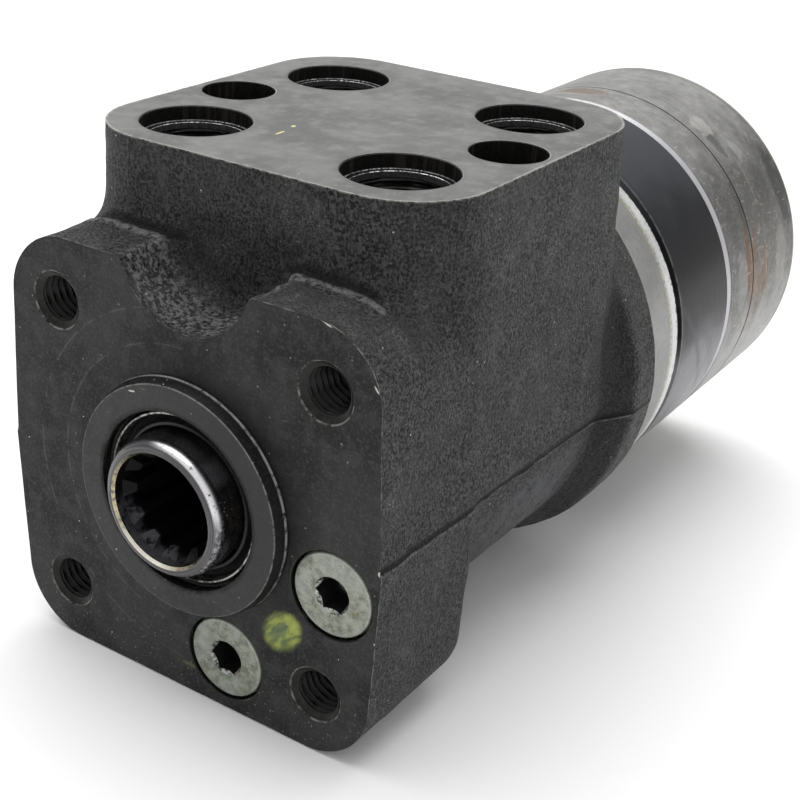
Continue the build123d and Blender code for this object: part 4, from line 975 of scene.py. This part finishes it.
def paint_faces(ob):
    me = ob.data
    n = len(me.polygons)
    c = np.empty(n * 3, np.float32)
    me.polygons.foreach_get("center", c)
    nr = np.empty(n * 3, np.float32)
    me.polygons.foreach_get("normal", nr)
    c = c.reshape(-1, 3) / S
    nr = nr.reshape(-1, 3)
    names = ["cast", "front", "port", "bore", "thread", "edge", "boss_rim", "seat", "land"]
    me.materials.clear()
    for k in names:
        me.materials.append(MATS[k])
    idx = np.zeros(n, np.int32)
    r = np.hypot(c[:, 0], c[:, 2])
    idx[(np.abs(c[:, 1]) < 0.003) & (nr[:, 1] < -0.99)] = 1
    idx[(c[:, 1] < -0.003)] = 1
    idx[(c[:, 1] < -0.003) & (r > BOSS_R - BOSS_CH - 0.02) & (r < BOSS_R + 0.02) & (nr[:, 1] > -0.98)] = 6
    idx[(np.abs(c[:, 2] - TOP) < 0.003) & (nr[:, 2] > 0.99)] = 2
    idx[(c[:, 1] > REAR - 2.2) & (r > 44.4) & (np.abs(nr[:, 1] - 0.7071) < 0.02)] = 5
    idx[(np.abs(c[:, 1] - REAR) < 0.003)] = 5
    idx[(r < 19.8) & ((c[:, 1] > 0.01) | ((c[:, 1] > -BOSS_H + 0.001) & (r < 17.3) & (np.abs(nr[:, 1]) < 0.9)))] = 3
    idx[(r < 17.2) & (r > 16.94) & (c[:, 1] > -BOSS_H + 0.001) & (c[:, 1] < -BOSS_H + 0.21)] = 1
    for sx in (-1, 1):
        for sz in (-1, 1):
            d = np.hypot(c[:, 0] - sx * BOLT_H, c[:, 2] - sz * BOLT_H)
            idx[(d < 4.9) & (c[:, 1] > 0.5) & (c[:, 1] < 22)] = 4
            idx[(d < 5.5) & (c[:, 1] > 0.95) & (c[:, 1] < 22)] = 4
        for sy in (-1, 1):
            d = np.hypot(c[:, 0] - sx * PORT_X, c[:, 1] - PORT_Y - sy * PORT_DY)
            idx[(d < PORT_CB + 0.35) & (c[:, 2] < TOP - 0.004) & (c[:, 2] > 20)] = 3
            step = np.abs(c[:, 2] - (TOP - PORT_CB_D - 0.4)) < 0.62
            idx[(d < PORT_CB - 0.005) & step & (np.abs(nr[:, 2]) > 0.3)] = 8
            idx[(d < PORT_CB - 0.005) & (d > PORT_CB - 0.14) & step & (np.abs(nr[:, 2]) > 0.3) & (np.abs(nr[:, 2]) < 0.98)] = 7
            idx[(d < 9.13) & (d > 8.98) & step & (np.abs(nr[:, 2]) > 0.3)] = 7
        d = np.hypot(c[:, 0] - sx * PIN_X, c[:, 1] - PORT_Y)
        idx[(d < PIN_R + 0.3) & (c[:, 2] < TOP - 0.004) & (c[:, 2] > 20)] = 3
    for px, pz in PLUGS:
        d = np.hypot(c[:, 0] - px, c[:, 2] - pz)
        idx[(d < 8.65) & (c[:, 1] > 0.004) & (c[:, 1] < 11.4)] = 3
        idx[(d < 5.6) & (c[:, 1] > 0.004) & (c[:, 1] < 54)] = 3
    me.polygons.foreach_set("material_index", idx)
    flat = ((np.abs(nr[:, 1]) > 0.9995) & ((np.abs(c[:, 1]) < 0.003) | (np.abs(c[:, 1] - REAR) < 0.003) | (c[:, 1] < -BOSS_H + 0.003))) | (idx == 2)
    me.polygons.foreach_set("use_smooth", ~flat)
    me.set_sharp_from_angle(angle=math.radians(30))
    me.update()


paint_faces(housing)
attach(housing, "root")
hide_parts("housing")

# ------------------------------------------------------------------ spool: rounded nose, splined socket, windows
def tooth_void():
    pts = []
    di, do = math.asin(1.75 / TOOTH_ROOT), math.asin(0.78 / TOOTH_TIP)
    for k in range(TOOTH_N):
        a = 2 * math.pi * k / TOOTH_N
        for rad, ang in ((TOOTH_ROOT, a - di), (TOOTH_TIP + 0.12, a - do * 1.03), (TOOTH_TIP, a - do * 0.82), (TOOTH_TIP, a + do * 0.82), (TOOTH_TIP + 0.12, a + do * 1.03), (TOOTH_ROOT, a + di)):
            pts.append((rad * math.cos(ang), rad * math.sin(ang)))
        gap = 2 * math.pi / TOOTH_N - 2 * di
        for j in range(1, 4):
            ang = a + di + gap * j / 4
            pts.append((TOOTH_ROOT * math.cos(ang), TOOTH_ROOT * math.sin(ang)))
    return pts


def make_spool():
    nose = [(0, NECK_Y), (11.20, NECK_Y)] + bend(11.20, NECK_Y + 2.0, 1.75, 2.0, -90, 0, 12)[1:]
    prof = nose + [(NECK_R, SPOOL_Y0 - 0.3), (NECK_R - 0.25, SPOOL_Y0), (SPOOL_R - 0.3, SPOOL_Y0), (SPOOL_R, SPOOL_Y0 + 0.3), (SPOOL_R, SPOOL_Y1 - 0.5), (SPOOL_R - 0.5, SPOOL_Y1), (0, SPOOL_Y1)]
    ob = joined("spool_body", [turned(prof, 192)])
    carve(ob, joined("t1", [prism(tooth_void(), (0, -9, 0), (1, 0, 0), (0, 0, 1), (0, 1, 0), 23.5)]))
    cone = [(0, -9), (12.9, -9), (10.98, NECK_Y), (TOOTH_ROOT, NECK_Y + 0.48), (TOOTH_ROOT, -4.5), (TOOTH_TIP, -2.67), (0, -2.67)]
    rear = [(0, 14.0), (10.6, 14.0), (10.6, SPOOL_Y1 - 0.8), (11.4, SPOOL_Y1), (11.4, SPOOL_Y1 + 1), (0, SPOOL_Y1 + 1)]
    carve(ob, joined("t2", [turned(cone, 192)]))
    carve(ob, joined("t3", [turned(rear, 96)]))
    carve(ob, joined("t4", [block(-20, 20, 20, 28, -2.2, 2.2)]))
    carve(ob, joined("t5", [rod((0, 36, -20), (0, 36, 20), 6.3, 64)]))
    cut = []
    for k in range(12):
        ang = math.radians(15 + 30 * k)
        c, s = math.cos(ang), math.sin(ang)
        y0, y1 = (50.0, 62.0) if k % 2 else (64.0, 84.0)
        cap = bend(0, 0, 1.5, 1.5, -90, 90, 10)
        out = [((y1 - y0) / 2 - 1.5 + p, q) for p, q in cap] + [(-(y1 - y0) / 2 + 1.5 - p, -q) for p, q in cap]
        cut.append(prism(out, (13.2 * c, (y0 + y1) / 2, 13.2 * s), (0, 1, 0), (-s, 0, c), (c, 0, s), 3.0))
    carve(ob, joined("t6", cut))
    c, nr = faces_of(ob)
    r = np.hypot(c[:, 0], c[:, 2])
    idx = np.zeros(len(c), np.int32)
    idx[(r > 11.0) & (c[:, 1] < SPOOL_Y0 + 0.2)] = 1
    idx[(c[:, 1] < NECK_Y + 2.0) & (r > TOOTH_ROOT + 0.01)] = 2
    idx[(r < TOOTH_ROOT + 0.02) & (c[:, 1] < 14.6)] = 3
    slots(ob, ["spool", "neck", "nose", "spline"])
    shade(ob, idx, 32)
    return ob


spool = make_spool()
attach(spool, "spool")
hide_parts("spool")

# ------------------------------------------------------------------ front seal: pressed case and rubber lip
case = [(15.72, -0.75), (15.82, -0.95), (16.12, -0.95), (16.24, -0.8), (16.24, 4.55), (15.72, 4.55)]
lip = [(15.70, 0.9), (15.70, 4.5), (13.30, 4.5), (13.30, 3.2), (14.0, 2.7), (14.1, 1.7), (13.10, 0.9), (13.02, 0.55), (13.12, 0.15), (13.5, -0.15), (13.95, -0.05), (14.35, 0.5), (14.7, 1.3), (15.1, 1.55), (15.45, 1.3)]
seal = joined("front_seal", [ring_turned(case, 192), ring_turned(lip, 192)])
c, nr = faces_of(seal)
slots(seal, ["case", "rubber"])
shade(seal, (np.hypot(c[:, 0], c[:, 2]) < 15.705).astype(np.int32), 30)
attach(seal, "root")
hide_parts("dust_seal")

# ------------------------------------------------------------------ plugs with hexagon sockets
HEX_TURN = 0.0


def make_plug(name, px, pz):
    f = 0.30
    prof = [(0, f), (PLUG_R - 0.55, f)] + bend(PLUG_R - 0.55, f + 0.5, 0.55, 0.5, -90, 0, 6)[1:] + [(PLUG_R, 1.4), (PLUG_THREAD, 1.6), (PLUG_THREAD, 9.2), (PLUG_THREAD - 0.6, 9.8), (0, 9.8)]
    ob = joined(name, [turned(prof, 128, "y", (px, pz))])
    rr = HEX / 2 / math.cos(math.radians(30))
    pts = [(rr * math.cos(math.radians(60 * k + HEX_TURN)), rr * math.sin(math.radians(60 * k + HEX_TURN))) for k in range(6)]
    carve(ob, joined("h", [prism(pts, (px, -1, pz), (1, 0, 0), (0, 0, 1), (0, 1, 0), 6.5)]))
    carve(ob, joined("k", [turned([(0, -1), (4.75, -1), (2.95, 0.98), (0, 0.98)], 96, "y", (px, pz))]))
    carve(ob, joined("d", [turned([(0, 5.2), (2.9, 5.2), (0, 6.9)], 48, "y", (px, pz))]))
    c, nr = faces_of(ob)
    d = np.hypot(c[:, 0] - px, c[:, 2] - pz)
    idx = np.zeros(len(c), np.int32)
    idx[(d < 3.9) & (c[:, 1] > f + 0.01)] = 2
    idx[(d < 3.75) & (c[:, 1] > f + 0.01) & (nr[:, 1] < -0.3) & (c[:, 1] < 1.1)] = 1
    slots(ob, ["zinc", "hex_edge", "hex_dark"])
    shade(ob, idx, 30)
    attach(ob, "root")
    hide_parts(name.replace("_piece", ""))
    return ob


make_plug("plug_upper_piece", *PLUGS[0])
make_plug("plug_lower_piece", *PLUGS[1])

# ------------------------------------------------------------------ CAD nodes that stay
finish = {
    "distributor_plate": "plate1", "channel_plate": "plate2", "gear_rim": "rim", "end_cover": "cover", "spool": "spool",
    "plug_upper": "zinc", "plug_lower": "zinc", "dust_seal": "rubber", "shaft_seal": "rubber", "plug_seals": "rubber",
    "cover_bolts": "screw", "bolt_washers": "plate2",
    "o_ring_housing": "rubber", "o_ring_rim_front": "rubber", "o_ring_rim_rear": "rubber",
}
REPLACED = ("housing", "spool", "dust_seal", "plug_upper", "plug_lower")
for name, ob in NODES.items():
    if name in REPLACED:
        continue
    m = MATS[finish.get(name, "inner")]
    if not ob.material_slots:
        ob.data.materials.append(m)
    for s in ob.material_slots:
        s.link = "OBJECT"
        s.material = m

# ------------------------------------------------------------------ floor, light and camera
floor_z = -45.5
me = bpy.data.meshes.new("floor")
a = math.atan2(45.5 - 41.25, 84.6)
q = 4.0
me.from_pydata([(-q, -q, 0), (q, -q, 0), (q, q, 0), (-q, q, 0)], [], [(0, 1, 2, 3)])
floor = bpy.data.objects.new("floor", me)
floor.location = (0, 0, (-41.25 - 0.15) * S)
floor.rotation_euler = (-a, 0, 0)
bpy.context.scene.collection.objects.link(floor)
fm = bpy.data.materials.new("floor_pale")
fm.use_nodes = True
fb = fm.node_tree.nodes["Principled BSDF"]
fb.inputs["Base Color"].default_value = (0.93, 0.93, 0.93, 1)
fb.inputs["Roughness"].default_value = 0.9
fb.inputs["Specular IOR Level"].default_value = 0.0
me.materials.append(fm)

world = bpy.data.worlds.new("studio")
bpy.context.scene.world = world
world.use_nodes = True
wt = world.node_tree
bg = wt.nodes["Background"]
bg.inputs["Strength"].default_value = 0.68
bg.inputs["Color"].default_value = (1, 1, 1, 1)


def area(name, loc, aim, size, power, size_y=None):
    l = bpy.data.lights.new(name, "AREA")
    l.energy = power
    l.size = size
    if size_y:
        l.shape = "RECTANGLE"
        l.size_y = size_y
    o = bpy.data.objects.new(name, l)
    o.location = loc
    o.rotation_euler = (Vector(aim) - Vector(loc)).to_track_quat("-Z", "Y").to_euler()
    bpy.context.scene.collection.objects.link(o)
    return o


sun = bpy.data.lights.new("top_light", "SUN")
sun.energy = 2.4
sun.angle = math.radians(70)
so = bpy.data.objects.new("top_light", sun)
so.rotation_euler = (math.radians(-12), math.radians(-14), 0)
bpy.context.scene.collection.objects.link(so)

scene = bpy.context.scene
scene.view_settings.view_transform = "Standard"
scene.view_settings.look = "None"

cam = bpy.data.cameras.new("camera")
co = bpy.data.objects.new("camera", cam)
az, el, ro = math.radians(33.17), math.radians(26.853), math.radians(2.891)
back = Vector((math.sin(az) * math.cos(el), -math.cos(az) * math.cos(el), math.sin(el)))
right = (-back).cross(Vector((0, 0, 1))).normalized()
up = right.cross(-back)
cr, sr = math.cos(ro), math.sin(ro)
X = cr * right + sr * up
Y = -sr * right + cr * up
co.matrix_world = Matrix.Translation(Vector((147.1, -167.8, 128.6)) * S) @ Matrix((X, Y, back)).transposed().to_4x4()
cam.sensor_width = 36
cam.lens = 36 * 1461.36 / 800
cam.shift_x = (400 - 368.44) / 800
cam.shift_y = (420.38 - 400) / 800
cam.clip_start = 0.005
scene.collection.objects.link(co)
scene.camera = co
